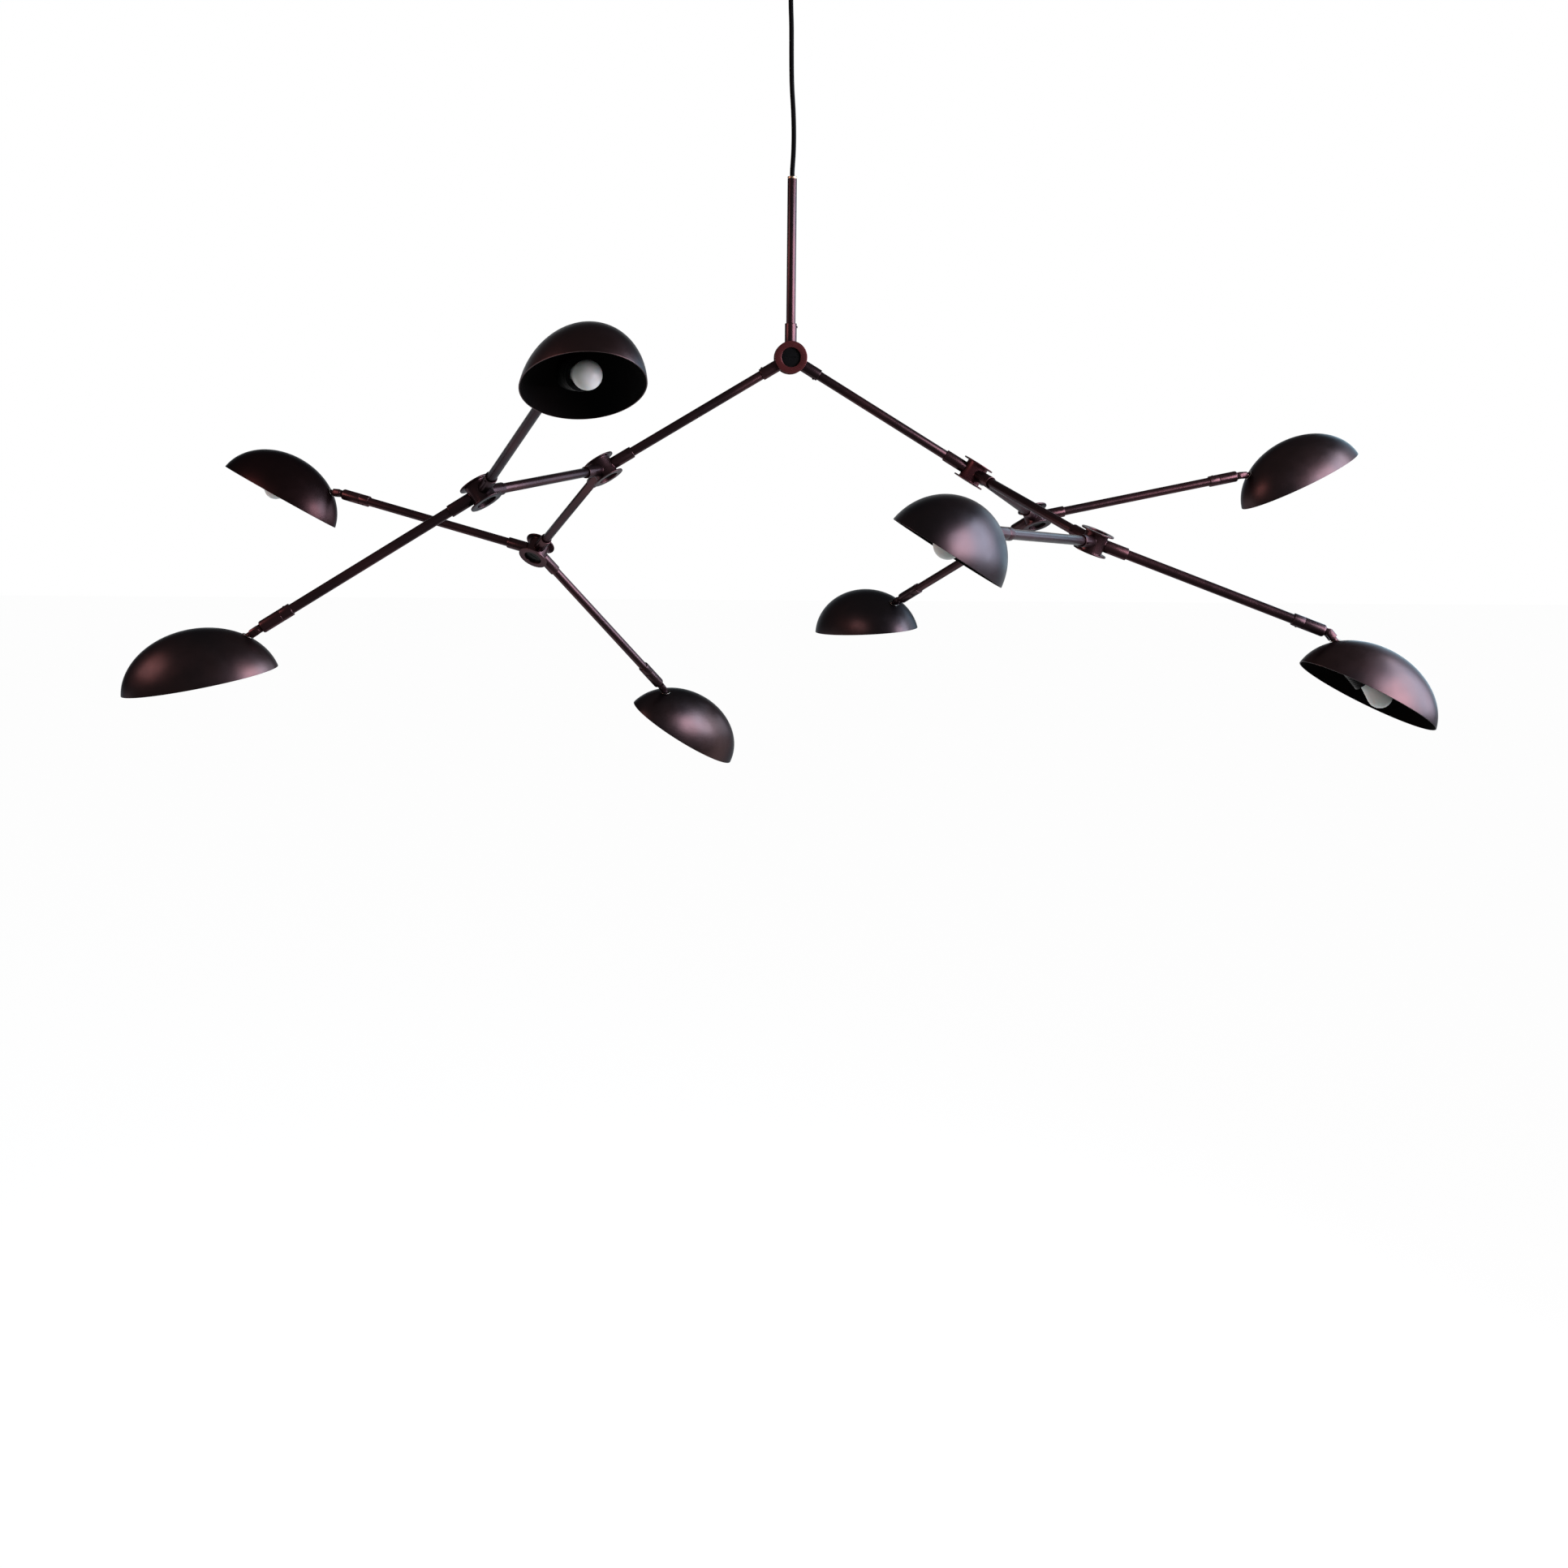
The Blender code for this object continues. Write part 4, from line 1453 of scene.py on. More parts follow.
@dataclass
class LampTube:
    """A lamp's tube with its end collar and the hollow spigot that the sleeve turns on."""

    arm: float
    knuckle: Knuckle = field(default_factory=Knuckle)
    collar_length: float = 0.0150
    spigot_bore: float = 0.0028
    screw_radius: float = 0.0013
    screw_rise: float = 0.0004

    def seam(self) -> float:
        """Distance from the hub's middle to the seam between collar and sleeve."""
        return self.arm - self.knuckle.standoff - self.knuckle.sleeve_length - GAP

    def mesh(self) -> bpy.types.Mesh:
        """Makes the tube, collar and spigot in one.

        Returns:
            The tube along X, from the hub's middle.
        """
        stock, spigot = self.knuckle.stock, self.knuckle.spigot_radius
        start = stock.seat_floor + GAP
        seam = self.seam()
        collar = seam - self.collar_length
        tip = seam + self.knuckle.spigot_length
        section = [
            (start, stock.radius),
            (collar, stock.radius),
            (collar, stock.fitting_radius),
            (seam, stock.fitting_radius),
            (seam, spigot),
            (tip, spigot),
            (tip, self.spigot_bore),
            (start, self.spigot_bore),
        ]
        return Form().lathe(section, stock.sides, fillet=0.0004, closed=True).mesh()

    def build(self, shop: Workshop, number: int, body: str, place: Matrix) -> None:
        """Makes the tube and the collar's set screw.

        Args:
            shop: Where pieces are dressed and handed over.
            number: The lamp's number.
            body: The body of the hub that carries it.
            place: The tube's frame.
        """
        shop.publish(f"lamp_arm_{number}", self.mesh(), BRONZE, body, f"lamp_tube_{number}", place)
        lift = self.knuckle.stock.fitting_radius + self.screw_rise / 2
        spot = place @ Matrix.Translation((self.seam() - self.collar_length / 2, 0, lift))
        screw = {"Radius": self.screw_radius, "Height": 2 * self.screw_rise, "Recess": self.screw_rise}
        shop.grow(f"lamp_arm_{number}_screw", shop.screws, [spot], screw, BRONZE, body)


@dataclass
class Shade:
    """The half-egg shade, whose X points from its middle to its mounted end and Z to its top."""

    length: float = 0.204
    width: float = 0.138
    depth: float = 0.068
    wall: float = 0.0014
    slice_share: float = 1.01
    knuckle_out: float = 0.086
    knuckle_up: float = 0.051
    lamp_lean: float = 22.9
    hole_radius: float = 0.0046
    rings: int = 30
    sides: int = 96
    rim_round: float = 0.0004
    halvings: int = 30

    def from_lamp(self) -> Matrix:
        """Places the lamp's frame in the shade's."""
        return Matrix.Translation((self.knuckle_out, 0, self.knuckle_up)) @ turn(180 - self.lamp_lean, "Y")

    def crossing(self) -> tuple[float, float]:
        """Finds where the lamp's line meets the dome, by halving.

        Returns:
            The distance from the tilt pin, and the wall's slope there in degrees.
        """
        lean = math.radians(self.lamp_lean)
        base = math.sqrt(self.slice_share**2 - 1)
        half = self.length / 2
        near, far = 0.0, self.knuckle_out / math.cos(lean)
        for _ in range(self.halvings):
            middle = (near + far) / 2
            share = (self.knuckle_out - middle * math.cos(lean)) / half
            up = self.knuckle_up - middle * math.sin(lean)
            dome = (math.sqrt(max(self.slice_share**2 - share**2, 0.0)) - base) / (self.slice_share - base)
            near, far = (near, middle) if share < 1 and up < self.depth * dome else (middle, far)
        share = (self.knuckle_out - far * math.cos(lean)) / half
        fall = share / math.sqrt(self.slice_share**2 - share**2) / (self.slice_share - base)
        return far, math.degrees(math.atan(fall * self.depth / half))

    def mesh(self, shop: Workshop) -> bpy.types.Mesh:
        """Makes the shell with its rounded rim and the hole for the lamp holder's neck.

        Args:
            shop: The workshop, for the tree and the materials.

        Returns:
            The shell, dressed outside and inside.
        """
        sizes = {
            "Length": self.length,
            "Width": self.width,
            "Depth": self.depth,
            "Wall": self.wall,
            "Slice Share": self.slice_share,
            "Rings": self.rings,
            "Sides": self.sides,
            "Material": shop.material(SHADE_OUTSIDE),
            "Lining": shop.material(SHADE_LINING),
        }
        shell = shop.egg.grow([], sizes)
        turned_out = bmesh.new()
        turned_out.from_mesh(shell)
        bmesh.ops.recalc_face_normals(turned_out, faces=turned_out.faces)
        turned_out.to_mesh(shell)
        turned_out.free()
        across, _ = self.crossing()
        bore = self.hole_radius + GAP
        start, end = across - 2 * self.hole_radius, across + 2 * self.hole_radius
        hole = [(start, 0.0), (start, bore), (end, bore), (end, 0.0)]
        tool = Form().lathe(hole, Sides.BORE, self.from_lamp(), fillet=0.0).mesh()
        return bevelled(combined(shell, "DIFFERENCE", tool), self.rim_round)

    def build(self, shop: Workshop, number: int, shell: bpy.types.Mesh, place: Matrix) -> None:
        """Makes a lamp's shade.

        Args:
            shop: Where pieces are dressed and handed over.
            number: The lamp's number.
            shell: The dressed shell that all shades copy.
            place: The lamp's frame.
        """
        mesh = shell.copy()
        finish = SHADE_FINISHES.get(number, SHADE_OUTSIDE)
        mesh.materials[mesh.materials.find(SHADE_OUTSIDE.name)] = shop.material(finish)
        name, body, node = f"shade_{number}_shell", f"lamp_{number}_body", f"shade_{number}"
        shop.publish(name, mesh, finish, body, node, place @ self.from_lamp().inverted(), dressed=True)


@dataclass
class LampHolder:
    """Fork, threaded neck, washers, lock nut and the moulded holder, along the lamp's line."""

    knuckle: Knuckle = field(default_factory=Knuckle)
    shade: Shade = field(default_factory=Shade)
    web: float = 0.0036
    slot_half: float = 0.0026
    barrel_radius: float = 0.0074
    neck_radius: float = 0.0042
    thread_crest: float = 0.00035
    thread_pitch: float = 0.0010
    washer_radius: float = 0.0078
    washer_thickness: float = 0.0010
    nut_radius: float = 0.0068
    nut_thickness: float = 0.0024
    shoulder_behind: float = 0.0045
    shoulder_length: float = 0.0150
    radius: float = 0.0195
    mouth: float = 0.0825
    mouth_radius: float = 0.0150
    mouth_depth: float = 0.0240
    groove_depth: float = 0.0007
    groove_pitch: float = 0.0030
    groove_count: int = 6
    base_radius: float = 0.0070
    base_depth: float = 0.0220

    def shoulder(self) -> float:
        """Distance from the tilt pin to where the moulded holder begins."""
        return self.shade.crossing()[0] + self.shade.wall + self.shoulder_behind

    def fork(self) -> bpy.types.Mesh:
        """Makes the fork's two ears and the web that joins them to the neck.

        Returns:
            The fork about Y.
        """
        ear = self.knuckle.ear_radius
        half = self.knuckle.fork_width / 2
        near, far = ear + GAP, 2 * ear
        block = Form().slab(self.knuckle.ear(near + self.web), -half, half).mesh()
        barrel = [(-far, 0.0), (-far, self.barrel_radius), (far, self.barrel_radius), (far, 0.0)]
        rounded = combined(block, "INTERSECT", Form().lathe(barrel, Sides.TUBE, fillet=0.0).mesh())
        opening = [(-far, -far), (near, -far), (near, far), (-far, far)]
        tool = Form().slab(opening, -self.slot_half, self.slot_half).mesh()
        return bevelled(combined(rounded, "DIFFERENCE", tool), width=0.0004)

    def neck(self) -> bpy.types.Mesh:
        """Makes the neck from the fork's web to the holder's shoulder.

        Returns:
            The neck along X.
        """
        start = self.knuckle.ear_radius + GAP + self.web / 2
        end = self.shoulder() + self.web
        outline = [(start, 0.0), (start, self.neck_radius), (end, self.neck_radius), (end, 0.0)]
        return Form().lathe(outline, Sides.PIN).mesh()

    def seat(self) -> Matrix:
        """The frame on the dome's outside at the neck, with X into the shade along its normal."""
        across, slope = self.shade.crossing()
        return along(across) @ turn(slope + self.shade.lamp_lean - 90, "Y")

    def washer(self, place: Matrix) -> bpy.types.Mesh:
        """Makes a washer.

        Args:
            place: Where its inner face lies.

        Returns:
            The washer.
        """
        thin, bore = self.washer_thickness, self.neck_radius / 2
        section = [(-thin, bore), (-thin, self.washer_radius), (0.0, self.washer_radius), (0.0, bore)]
        return Form().lathe(section, Sides.FITTING, place, fillet=0.0004, closed=True).mesh()

    def lock_nut(self) -> bpy.types.Mesh:
        """Makes the washer and the hexagon nut inside the shade.

        Returns:
            Both in the lamp's frame.
        """
        inside = self.seat() @ along(self.shade.wall + GAP + self.washer_thickness)
        top, bore = self.nut_thickness, self.neck_radius / 2
        section = [(0.0, bore), (0.0, self.nut_radius), (top, self.nut_radius), (top, bore)]
        nut = Form().lathe(section, Sides.NUT, inside @ along(GAP), fillet=0.0002, closed=True).mesh()
        return merged([(self.washer(inside), Matrix()), (nut, Matrix())])

    def shell(self) -> bpy.types.Mesh:
        """Makes the moulded holder with its grooves, its mouth and the seat of the bulb's base.

        Returns:
            The holder along X.
        """
        shoulder = self.shoulder()
        radius, bore = self.radius, self.base_radius + GAP
        outline = [(shoulder, 0.0), (shoulder, self.neck_radius + self.thread_crest)]
        outline += [(shoulder + self.shoulder_length, radius)]
        deep = radius - self.groove_depth
        width = self.groove_pitch / 3
        for number in range(self.groove_count):
            low = self.mouth - (self.groove_count + 1 - number) * self.groove_pitch
            outline += [(low, radius), (low + width / 2, deep)]
            outline += [(low + width, deep), (low + 3 * width / 2, radius)]
        floor = self.mouth - self.mouth_depth
        outline += [
            (self.mouth, radius),
            (self.mouth, self.mouth_radius),
            (floor, self.mouth_radius),
            (floor, bore),
            (floor - self.base_depth, bore),
            (floor - self.base_depth, 0.0),
        ]
        return Form().lathe(outline, Sides.HOLDER, fillet=0.0006).mesh()

    def build(self, shop: Workshop, number: int, place: Matrix) -> None:
        """Makes a lamp holder's pieces.

        Args:
            shop: Where pieces are dressed and handed over.
            number: The lamp's number.
            place: The lamp's frame.
        """
        name, body = f"holder_{number}", f"lamp_{number}_body"
        shop.publish(f"{name}_shell", self.shell(), MOULDED, body, f"lamp_holder_{number}", place)
        fork = merged([(self.fork(), Matrix()), (self.neck(), Matrix())])
        shop.publish(f"{name}_fork", fork, BRONZE, body, place=place)
        washer = self.washer(self.seat() @ along(-GAP))
        shop.publish(f"{name}_seat_washer", washer, NICKEL, body, place=place)
        shop.publish(f"{name}_lock_nut", self.lock_nut(), BRASS, body, place=place)
        start = self.knuckle.ear_radius + GAP + self.web
        sizes = {
            "Radius": self.neck_radius - self.thread_crest / 4,
            "Length": self.shoulder() - start,
            "Pitch": self.thread_pitch,
            "Crest": self.thread_crest,
        }
        spot = place @ along(start) @ turn(90, "Y")
        shop.grow(f"{name}_thread", shop.thread, [spot], sizes, BRONZE, body)


@dataclass
class Bulb:
    """A small opal bulb with a round tip and a plated base, along the lamp's line."""

    radius: float = 0.0172
    centre: float = 0.1092
    neck_radius: float = 0.0120
    neck_at: float = 0.0830
    shoulder: float = 0.0080
    base_end: float = 0.0365
    base_start: float = 0.0585
    base_radius: float = 0.0069
    base_turns: int = 6
    sides: int = 64
    rings: int = 28

    def glass(self) -> bpy.types.Mesh:
        """Makes the opal globe and its waist.

        Returns:
            The glass along X.
        """
        lean = math.asin((self.radius - self.neck_radius) / (self.centre - self.neck_at))
        outline = [
            (self.base_start, 0.0),
            (self.base_start, self.base_radius - GAP),
            (self.base_start + self.shoulder, self.neck_radius - 2 * GAP),
            (self.neck_at, self.neck_radius),
        ]
        for ring in range(self.rings + 1):
            angle = (math.pi / 2 + lean) * (1 - ring / self.rings)
            radius = self.radius * math.sin(angle) if ring < self.rings else 0.0
            outline.append((self.centre + self.radius * math.cos(angle), radius))
        return Form().lathe(outline, self.sides, fillet=0.0006, steps=2).mesh()

    def base(self) -> bpy.types.Mesh:
        """Makes the plated screw base and its contact.

        Returns:
            The base along X.
        """
        pitch = (self.base_start - self.base_end) / (self.base_turns + 2)
        outline = [(self.base_end, 0.0), (self.base_end + pitch / 2, self.base_radius / 2)]
        for number in range(self.base_turns):
            low = self.base_end + (number + 1) * pitch
            outline += [(low, self.base_radius - 2 * GAP), (low + pitch / 2, self.base_radius)]
        outline += [(self.base_start - GAP, self.base_radius), (self.base_start - GAP, 0.0)]
        return Form().lathe(outline, Sides.PIN, fillet=0.0004, steps=2).mesh()

    def build(self, shop: Workshop, number: int, place: Matrix) -> None:
        """Makes the bulb.

        Args:
            shop: Where pieces are dressed and handed over.
            number: The lamp's number.
            place: The lamp's frame.
        """
        body = f"lamp_{number}_body"
        shop.publish(f"bulb_{number}_glass", self.glass(), OPAL, body, f"bulb_{number}", place)
        shop.publish(f"bulb_{number}_base", self.base(), STEEL, body, place=place)


@dataclass
class DropCord:
    """The cord from the ceiling fitting's grip to the gland on the stem."""

    middle: float
    radius: float = 0.0033
    bottom: float = -0.3012
    top: float = -0.0446
    spacing: float = 0.0095
    # Sideways and up from the middle of the central hub
    route: tuple[tuple[float, float], ...] = (
        (0.0000, 0.2490),
        (0.0000, 0.2570),
        (0.0013, 0.2800),
        (0.0016, 0.3050),
        (0.0006, 0.3350),
        (-0.0017, 0.3690),
        (-0.0026, 0.4020),
        (-0.0031, 0.4460),
        (-0.0041, 0.4720),
        (-0.0045, 0.4930),
        (-0.0045, 0.5020),
    )

    def line(self) -> list[Vector]:
        """Draws the cord's middle line.

        Returns:
            Points from the gland up to the grip.
        """
        low, high = self.route[0][1], self.route[-1][1]
        scale = (self.top - self.bottom) / (high - low)
        knots = [Vector((self.middle + side, 0, self.bottom + (up - low) * scale)) for side, up in self.route]
        count = round((self.top - self.bottom) / self.spacing)
        return [self.between(knots, (len(knots) - 1) * step / count) for step in range(count + 1)]

    def between(self, knots: list[Vector], place: float) -> Vector:
        """Finds a point on the smooth curve through the knots.

        Args:
            knots: The knots.
            place: The point's place, counted in knots.

        Returns:
            The point.
        """
        first = min(int(place), len(knots) - 2)
        share = place - first
        last = len(knots) - 1
        near = [knots[min(max(first + step, 0), last)] for step in (-1, 0, 1, 2)]
        weights = (
            (-share + 2 * share**2 - share**3) / 2,
            (2 - 5 * share**2 + 3 * share**3) / 2,
            (share + 4 * share**2 - 3 * share**3) / 2,
            (share**3 - share**2) / 2,
        )
        return sum((knot * weight for knot, weight in zip(near, weights)), Vector())

    def build(self, shop: Workshop) -> None:
        """Makes the cord, a round curve through its points.

        Args:
            shop: Where pieces are dressed and handed over.
        """
        points = self.line()
        curve = bpy.data.curves.new("cord_sheath", "CURVE")
        curve.dimensions = "3D"
        curve.bevel_depth = self.radius
        curve.bevel_resolution = 6
        curve.use_fill_caps = True
        spline = curve.splines.new("POLY")
        spline.points.add(len(points) - 1)
        for target, point in zip(spline.points, points):
            target.co = (*point, 1.0)
        spline.use_smooth = True
        curve.materials.append(shop.material(SHEATH))
        cord = linked("cord_sheath", curve)
        shop.hand_over(cord, SHEATH, STEM_BODY, "drop_cord")
        length = sum((after - before).length for before, after in zip(points, points[1:]))
        tuple(points[0])


@dataclass
class Stem:
    """The stem tube and the gland that closes it round the cord."""

    stock: TubeStock = field(default_factory=TubeStock)
    reach: float = 0.2452
    cap: float = 0.0030
    depth: float = 0.0080

    def build(self, shop: Workshop, linkage: Linkage) -> None:
        """Makes the stem's pieces.

        Args:
            shop: Where pieces are dressed and handed over.
            linkage: The linkage, for the central hub's frame.
        """
        place = linkage.centre() @ turn(180, "Z")
        shop.publish("stem", self.stock.pipe(self.reach), BRONZE, STEM_BODY, "stem_tube", place)
        low = self.reach + GAP
        plug = self.stock.bore - GAP
        outline = [
            (low - self.depth, 0.0),
            (low - self.depth, plug),
            (low, plug),
            (low, self.stock.radius),
            (low + self.cap, self.stock.radius),
            (low + self.cap, 0.0),
        ]
        gland = Form().lathe(outline, Sides.FITTING, fillet=0.0006).mesh()
        shop.publish("gland", gland, BRASS, STEM_BODY, "stem_gland", place)


@dataclass
class CeilingFitting:
    """Canopy, bracket, terminal block and cord grip."""

    radius: float = 0.0500
    depth: float = 0.0320
    wall: float = 0.0012
    corner: float = 0.0060
    corner_steps: int = 8
    bracket_reach: float = 0.0470
    bracket_width: float = 0.0180
    bracket_thickness: float = 0.0020
    bracket_ear: float = 0.0110
    slot_length: float = 0.0140
    slot_width: float = 0.0046
    slot_spacing: float = 0.0540
    block: tuple[float, float, float] = (0.0280, 0.0140, 0.0080)
    barrel_radius: float = 0.0034
    barrel_rise: float = 0.0030
    barrel_count: int = 3
    grip_length: float = 0.0120
    grip_radius: float = 0.0070
    grip_nose: float = 0.0050
    grip_spigot: float = 0.0050
    nut_radius: float = 0.0085
    nut_height: float = 0.0040
    upright: Matrix = field(default_factory=lambda: turn(-90, "Y"))

    def canopy(self) -> bpy.types.Mesh:
        """Makes the ceiling cup, with a rounded lower corner and the grip's hole.

        Returns:
            The canopy about Z.
        """
        hole = self.grip_spigot + GAP
        bend = self.corner - self.depth
        middle = self.radius - self.corner
        sides = []
        for round_radius in (self.corner, self.corner - self.wall):
            side = [(0.0, middle + round_radius)]
            for step in range(self.corner_steps + 1):
                angle = math.pi / 2 * step / self.corner_steps
                side.append((bend - round_radius * math.sin(angle), middle + round_radius * math.cos(angle)))
            sides.append(side)
        outside, inside = sides
        section = outside + [(-self.depth, hole), (self.wall - self.depth, hole)] + inside[::-1]
        return Form().lathe(section, Sides.DRUM, self.upright, fillet=0.0003, steps=2, closed=True).mesh()

    def slot_outline(self, steps: int = 12) -> list[tuple[float, float]]:
        """Draws a slot with round ends.

        Args:
            steps: Steps of each round end.

        Returns:
            The outline in X and Z.
        """
        radius = self.slot_width / 2
        straight = self.slot_length / 2 - radius
        outline = []
        for side in (1, -1):
            for step in range(steps + 1):
                angle = math.pi * step / steps - math.pi / 2
                end = straight + radius * math.cos(angle)
                outline.append((side * end, side * radius * math.sin(angle)))
        return outline

    def bracket(self) -> bpy.types.Mesh:
        """Makes the strap with its two slots, its ends bent down inside the canopy.

        Returns:
            The bracket below the ceiling.
        """
        reach, thin, ear = self.bracket_reach, self.bracket_thickness, self.bracket_ear
        inner = reach - thin
        outline = [(-reach, 0.0), (reach, 0.0), (reach, -ear), (inner, -ear), (inner, -thin)]
        outline += [(-inner, -thin), (-inner, -ear), (-reach, -ear)]
        strap = Form().slab(outline, -self.bracket_width / 2, self.bracket_width / 2).mesh()
        tools = []
        for side in (1, -1):
            place = along(side * self.slot_spacing / 2) @ turn(90, "X")
            tools.append(Form().slab(self.slot_outline(), -2 * thin, 2 * thin, place).mesh())
        return bevelled(combined(strap, "DIFFERENCE", *tools), width=0.0003)

    def barrel_places(self) -> list[Matrix]:
        """Places the terminal block's barrels.

        Returns:
            Their middles on the block's lower face.
        """
        length, _, height = self.block
        pitch = length / self.barrel_count
        low = -self.bracket_thickness - GAP - height
        return [
            Matrix.Translation((pitch * number + pitch / 2 - length / 2, 0, low + GAP))
            for number in range(self.barrel_count)
        ]

    def terminal(self) -> bpy.types.Mesh:
        """Makes the terminal block with its barrels.

        Returns:
            The block below the bracket.
        """
        length, width, height = self.block
        top = -self.bracket_thickness - GAP
        low = top - height
        half = length / 2
        outline = [(-half, low), (half, low), (half, top), (-half, top)]
        bar = Form().slab(outline, -width / 2, width / 2).mesh()
        parts = [(bevelled(bar, width=0.0006), Matrix())]
        rise, bore = self.barrel_rise, self.barrel_radius / 2
        barrel = [(0.0, 0.0), (0.0, self.barrel_radius), (rise, self.barrel_radius)]
        barrel += [(rise, bore), (rise / 3, bore), (rise / 3, 0.0)]
        for place in self.barrel_places():
            parts.append((Form().lathe(barrel, Sides.BORE, turn(90, "Y")).mesh(), place))
        return merged(parts)

    def grip(self) -> bpy.types.Mesh:
        """Makes the cord grip's nose and spigot, and its hexagon nut inside the canopy.

        Returns:
            The grip about Z.
        """
        below = -self.depth - GAP
        above = -self.depth + self.wall + GAP
        end = below - self.grip_length
        top = above + self.nut_height
        spigot = self.grip_spigot
        outline = [
            (end, 0.0),
            (end, self.grip_nose),
            (end + self.grip_length / 2, self.grip_radius),
            (below, self.grip_radius),
            (below, spigot),
            (top, spigot),
            (top, 0.0),
        ]
        nut = [(above, spigot), (above, self.nut_radius), (top, self.nut_radius), (top, spigot)]
        form = Form().lathe(outline, Sides.FITTING, self.upright, fillet=0.0006)
        return form.lathe(nut, Sides.NUT, self.upright, fillet=0.0003, steps=2, closed=True).mesh()

    def build(self, shop: Workshop) -> None:
        """Makes the ceiling fitting's pieces.

        Args:
            shop: Where pieces are dressed and handed over.
        """
        shop.publish("canopy_cup", self.canopy(), BRONZE, STEM_BODY, "canopy")
        shop.publish("ceiling_strap", self.bracket(), STEEL, STEM_BODY, "ceiling_bracket")
        shop.publish("terminals", self.terminal(), TERMINAL, STEM_BODY, "terminal_block")
        shop.publish("grip", self.grip(), BRONZE, STEM_BODY, "cord_grip")
        lowered = Matrix.Translation((0, 0, -self.barrel_rise / 3))
        places = [lowered @ place @ turn(180, "X") for place in self.barrel_places()]
        screw = {
            "Radius": self.barrel_radius / 2 - GAP,
            "Height": self.barrel_rise / 2,
            "Recess": self.barrel_rise / 6,
        }
        shop.grow("terminal_screws", shop.screws, places, screw, STEEL, STEM_BODY)


# Studio


@dataclass(frozen=True)
class SoftLamp:
    """An upright soft lamp, given by its two ends in plan.

    Attributes:
        name: The lamp's name.
        near: The plan position of the end on its left as seen from the light.
        far: The plan position of the other end.
        heights: Its lower and upper edge.
        radiance: Its brightness for red, green and blue.
    """

    name: str
    near: tuple[float, float]
    far: tuple[float, float]
    heights: tuple[float, float]
    radiance: Colour

    def build(self) -> None:
        """Places the lamp, facing the light."""
        (x, y), (far_x, far_y), (low, high) = self.near, self.far, self.heights
        strongest = max(self.radiance)
        light = bpy.data.lights.new(self.name, "AREA")
        light.shape = "RECTANGLE"
        light.size, light.size_y = math.dist(self.near, self.far), high - low
        light.energy = strongest * math.pi * math.dist(self.near, self.far) * (high - low)
        light.color = [value / strongest for value in self.radiance]
        lamp = linked(self.name, light)
        lamp.location = ((x + far_x) / 2, (y + far_y) / 2, (low + high) / 2)
        lamp.rotation_euler = Vector((y - far_y, far_x - x, 0.0)).to_track_quat("-Z", "Y").to_euler()


SOFT_LAMPS = (
    SoftLamp("main_lamp", (1.80, -2.6), (2.15, -0.95), (-1.05, 0.62), (13.4, 11.8, 13.6)),
    SoftLamp("cool_lamp", (2.14, -0.90), (1.9, 0.22), (-1.05, 0.55), (9.8, 12.0, 14.2)),
    SoftLamp("far_lamp", (1.88, 0.50), (1.45, 1.90), (-1.05, 0.30), (2.5, 3.4, 3.9)),
    SoftLamp("warm_lamp", (-2.10, -0.15), (-2.15, -1.25), (-0.45, 0.35), (4.8, 2.5, 2.3)),
)


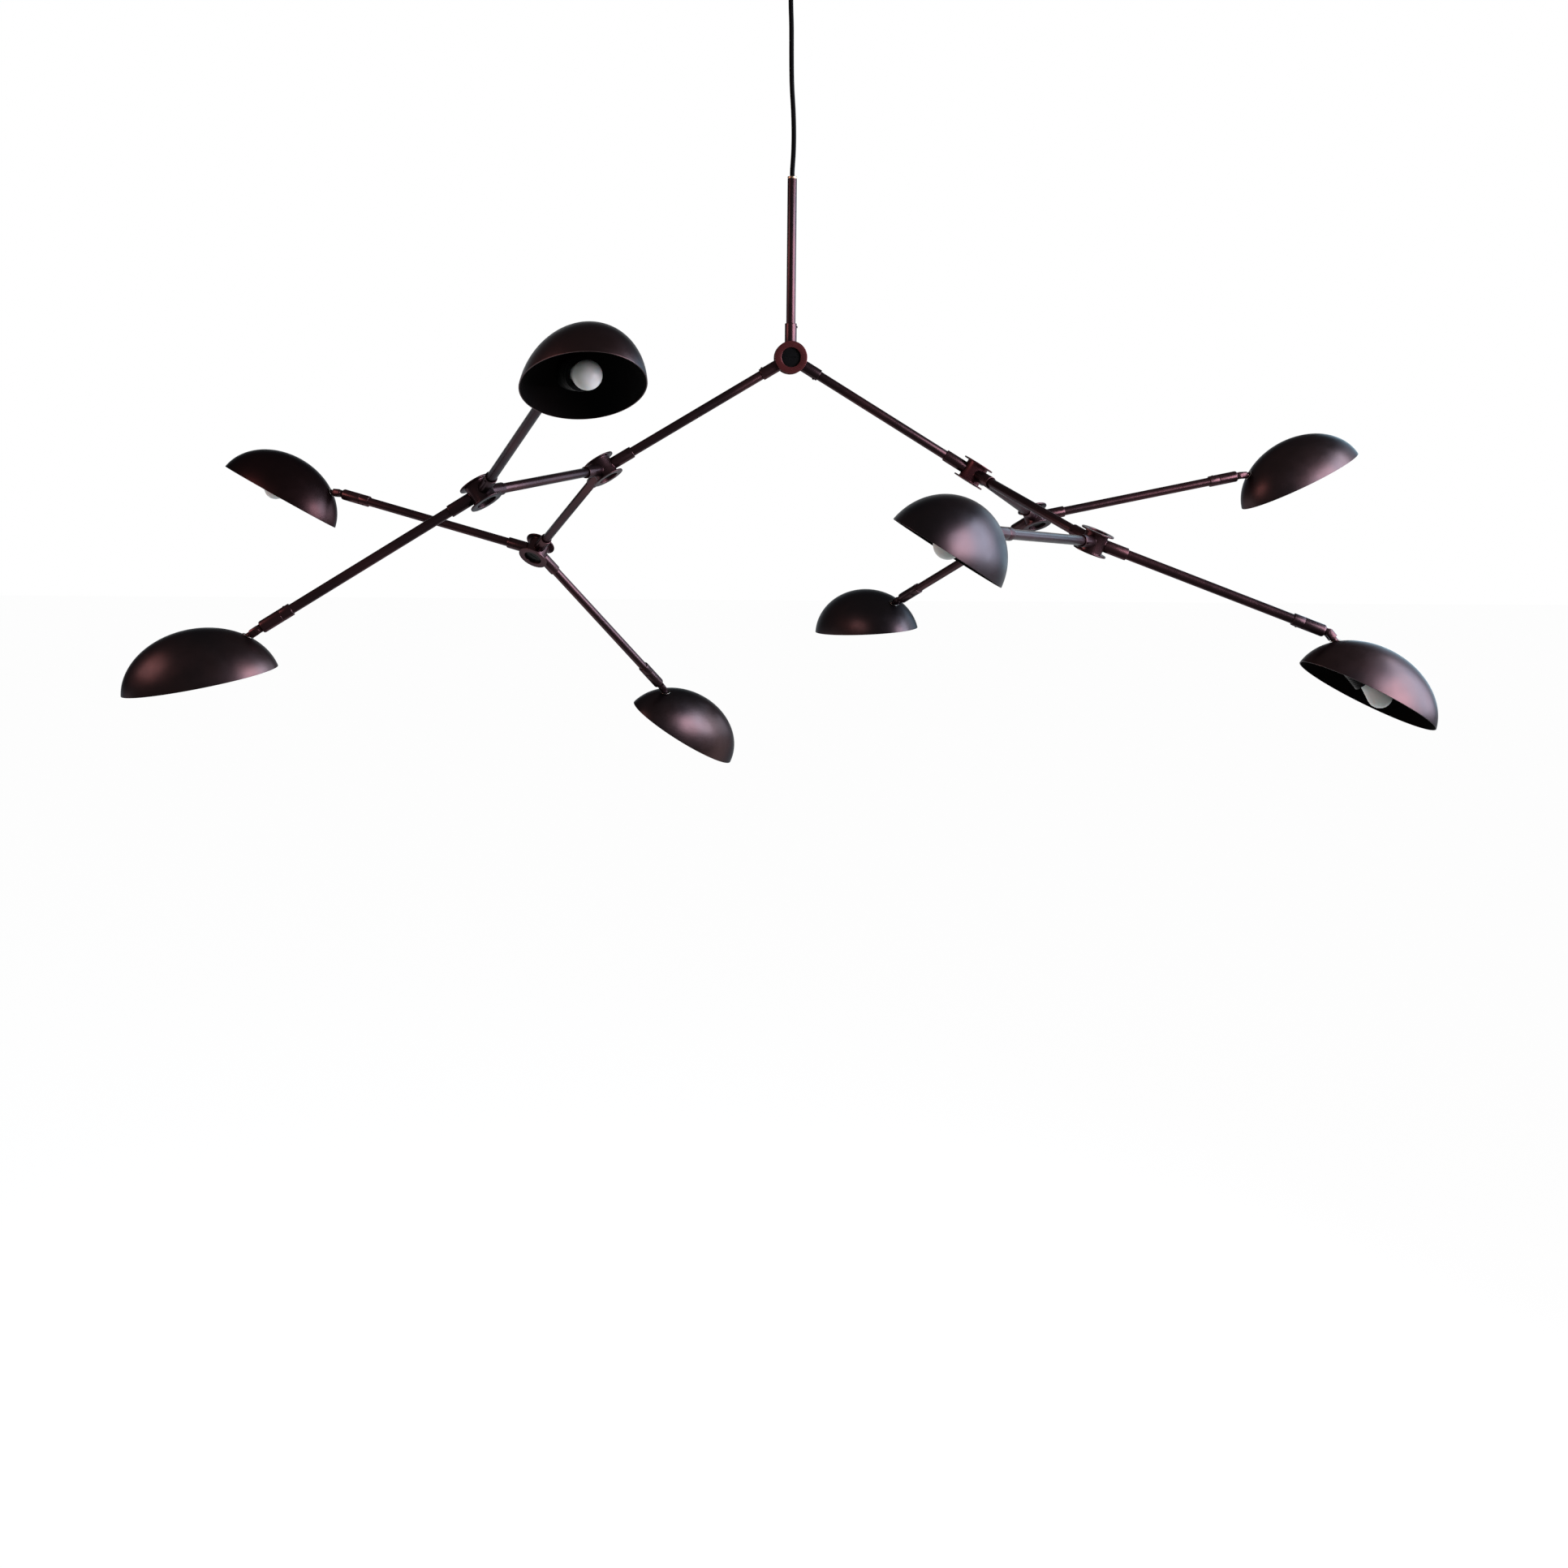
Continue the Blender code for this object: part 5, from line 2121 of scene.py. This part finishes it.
@dataclass
class Studio:
    """The camera at the photograph's viewpoint, a pale floor, and soft lamps."""

    eye: tuple[float, float, float] = (-0.2374, -3.2943, -0.7242)
    pan: float = -4.144
    tilt: float = 82.583
    lean: float = 0.564
    lens: float = 53.14
    sensor: float = 36.0
    clip: tuple[float, float] = (0.05, 200.0)
    floor: float = -2.40
    floor_half: float = 30.0
    floor_front: float = 0.05
    floor_colour: Colour = (0.85, 0.85, 0.85)
    floor_roughness: float = 0.9
    floor_glow: float = 1.06
    floor_glow_share: float = 0.9
    backdrop: tuple[float, float, float] = (0.0, 0.99, -0.12)
    backdrop_edge: tuple[float, float] = (0.78, 0.93)
    room: float = 0.13
    ambient: float = 0.35

    def camera(self) -> None:
        """Places the camera."""
        lens = bpy.data.cameras.new("viewpoint")
        lens.lens = self.lens
        lens.sensor_width = self.sensor
        lens.clip_start, lens.clip_end = self.clip
        camera = linked("viewpoint", lens)
        aim = turn(self.pan, "Z") @ turn(self.tilt, "X") @ turn(self.lean, "Z")
        camera.matrix_world = Matrix.Translation(self.eye) @ aim
        bpy.context.scene.camera = camera

    def world(self) -> None:
        """White for the camera, a white backdrop in a dim room for what shines, and soft light."""
        world = bpy.data.worlds.new("surround")
        world.use_nodes = True
        bpy.context.scene.world = world
        sheet = Wiring(world.node_tree)
        ray = sheet.node("ShaderNodeLightPath").outputs
        where = sheet.node("ShaderNodeTexCoord").outputs["Generated"]
        towards = sheet.node("ShaderNodeVectorMath", {0: where, 1: self.backdrop}, operation="DOT_PRODUCT")
        start, end = self.backdrop_edge
        edge = {"From Min": start, "From Max": end, "To Min": self.room}
        backdrop = sheet.out(
            "ShaderNodeMapRange",
            {"Value": towards.outputs["Value"], **edge},
            interpolation_type="SMOOTHSTEP",
        )
        shine = sheet.out("ShaderNodeMix", {0: ray["Is Glossy Ray"], 2: self.ambient, 3: backdrop})
        clear = sheet.maths("ADD", ray["Is Camera Ray"], ray["Is Transmission Ray"], clamp=True)
        white = sheet.out("ShaderNodeMix", {0: clear, 2: shine, 3: 1.0})
        back = {"Color": (1.0, 1.0, 1.0, 1.0), "Strength": white}
        sheet.feed(world.node_tree.nodes["Background"], back)

    def ground(self) -> None:
        """Lays the pale floor, seen from above only."""
        material = bpy.data.materials.new("pale_floor")
        material.use_nodes = True
        nodes = material.node_tree.nodes
        sheet = Wiring(material.node_tree)
        ray = sheet.node("ShaderNodeLightPath").outputs
        shown = sheet.plus(ray["Is Camera Ray"], ray["Is Glossy Ray"])
        seen = sheet.maths("ADD", shown, ray["Is Transmission Ray"], clamp=True)
        shader = nodes["Principled BSDF"]
        paint = {"Base Color": (*self.floor_colour, 1.0), "Roughness": self.floor_roughness}
        sheet.feed(shader, paint)
        glow = sheet.out("ShaderNodeEmission", {"Strength": self.floor_glow})
        share = sheet.times(seen, self.floor_glow_share)
        lit = sheet.out("ShaderNodeMixShader", {0: share, 1: shader.outputs[0], 2: glow})
        below = sheet.node("ShaderNodeNewGeometry").outputs["Backfacing"]
        clear = sheet.out("ShaderNodeBsdfTransparent")
        single = sheet.out("ShaderNodeMixShader", {0: below, 1: lit, 2: clear})
        sheet.feed(nodes["Material Output"], {"Surface": single})
        half, front = self.floor_half, self.floor_front
        plan = ((-half, front), (half, front), (half, half), (-half, half))
        corners = [(x, y, self.floor) for x, y in plan]
        mesh = bpy.data.meshes.new("floor")
        mesh.from_pydata(corners, [], [range(len(corners))])
        mesh.materials.append(material)
        linked("floor", mesh)

    def build(self) -> None:
        """Sets the stage."""
        bpy.context.scene.view_settings.view_transform = "Standard"
        self.camera()
        self.world()
        self.ground()
        for lamp in SOFT_LAMPS:
            lamp.build()


# The whole light


def build_linkage(shop: Workshop, linkage: Linkage) -> None:
    """Makes the hubs and the tubes between them.

    Args:
        shop: Where pieces are dressed and handed over.
        linkage: Where they go.
    """
    hubs = linkage.hubs()
    hub = Hub()
    for name, place in hubs.items():
        hub.build(shop, name, place, linkage.split(name))
    for branch in BRANCHES:
        start, length = linkage.arm(hubs, branch)
        pipe = hub.stock.pipe(length - hub.stock.seat_floor - GAP)
        shop.publish(f"{branch.tube}_pipe", pipe, BRONZE, body_of(branch.carrier), branch.tube, start)


def build_lamps(shop: Workshop, linkage: Linkage) -> None:
    """Makes the eight lamps.

    Args:
        shop: Where pieces are dressed and handed over.
        linkage: Where they go.
    """
    hubs = linkage.hubs()
    shade = Shade()
    shell = shade.mesh(shop)
    for lamp in LAMPS:
        tube = LampTube(linkage.lamp_arm)
        tube.build(shop, lamp.number, body_of(lamp.hub), linkage.lamp_tube(hubs, lamp))
        Knuckle().build(shop, lamp.number, linkage.sleeve(hubs, lamp))
        place = linkage.lamp(hubs, lamp)
        LampHolder().build(shop, lamp.number, place)
        Bulb().build(shop, lamp.number, place)
        shade.build(shop, lamp.number, shell, place)


def main() -> None:
    """Builds the whole light and its studio."""
    logging.basicConfig(level=logging.INFO, format="%(name)s: %(message)s")
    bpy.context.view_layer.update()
    shop = Workshop()
    linkage = Linkage()
    Studio().build()
    DropCord(linkage.hub_side).build(shop)
    Stem().build(shop, linkage)
    CeilingFitting().build(shop)
    build_linkage(shop, linkage)
    build_lamps(shop, linkage)


if __name__ == "__main__":
    main()
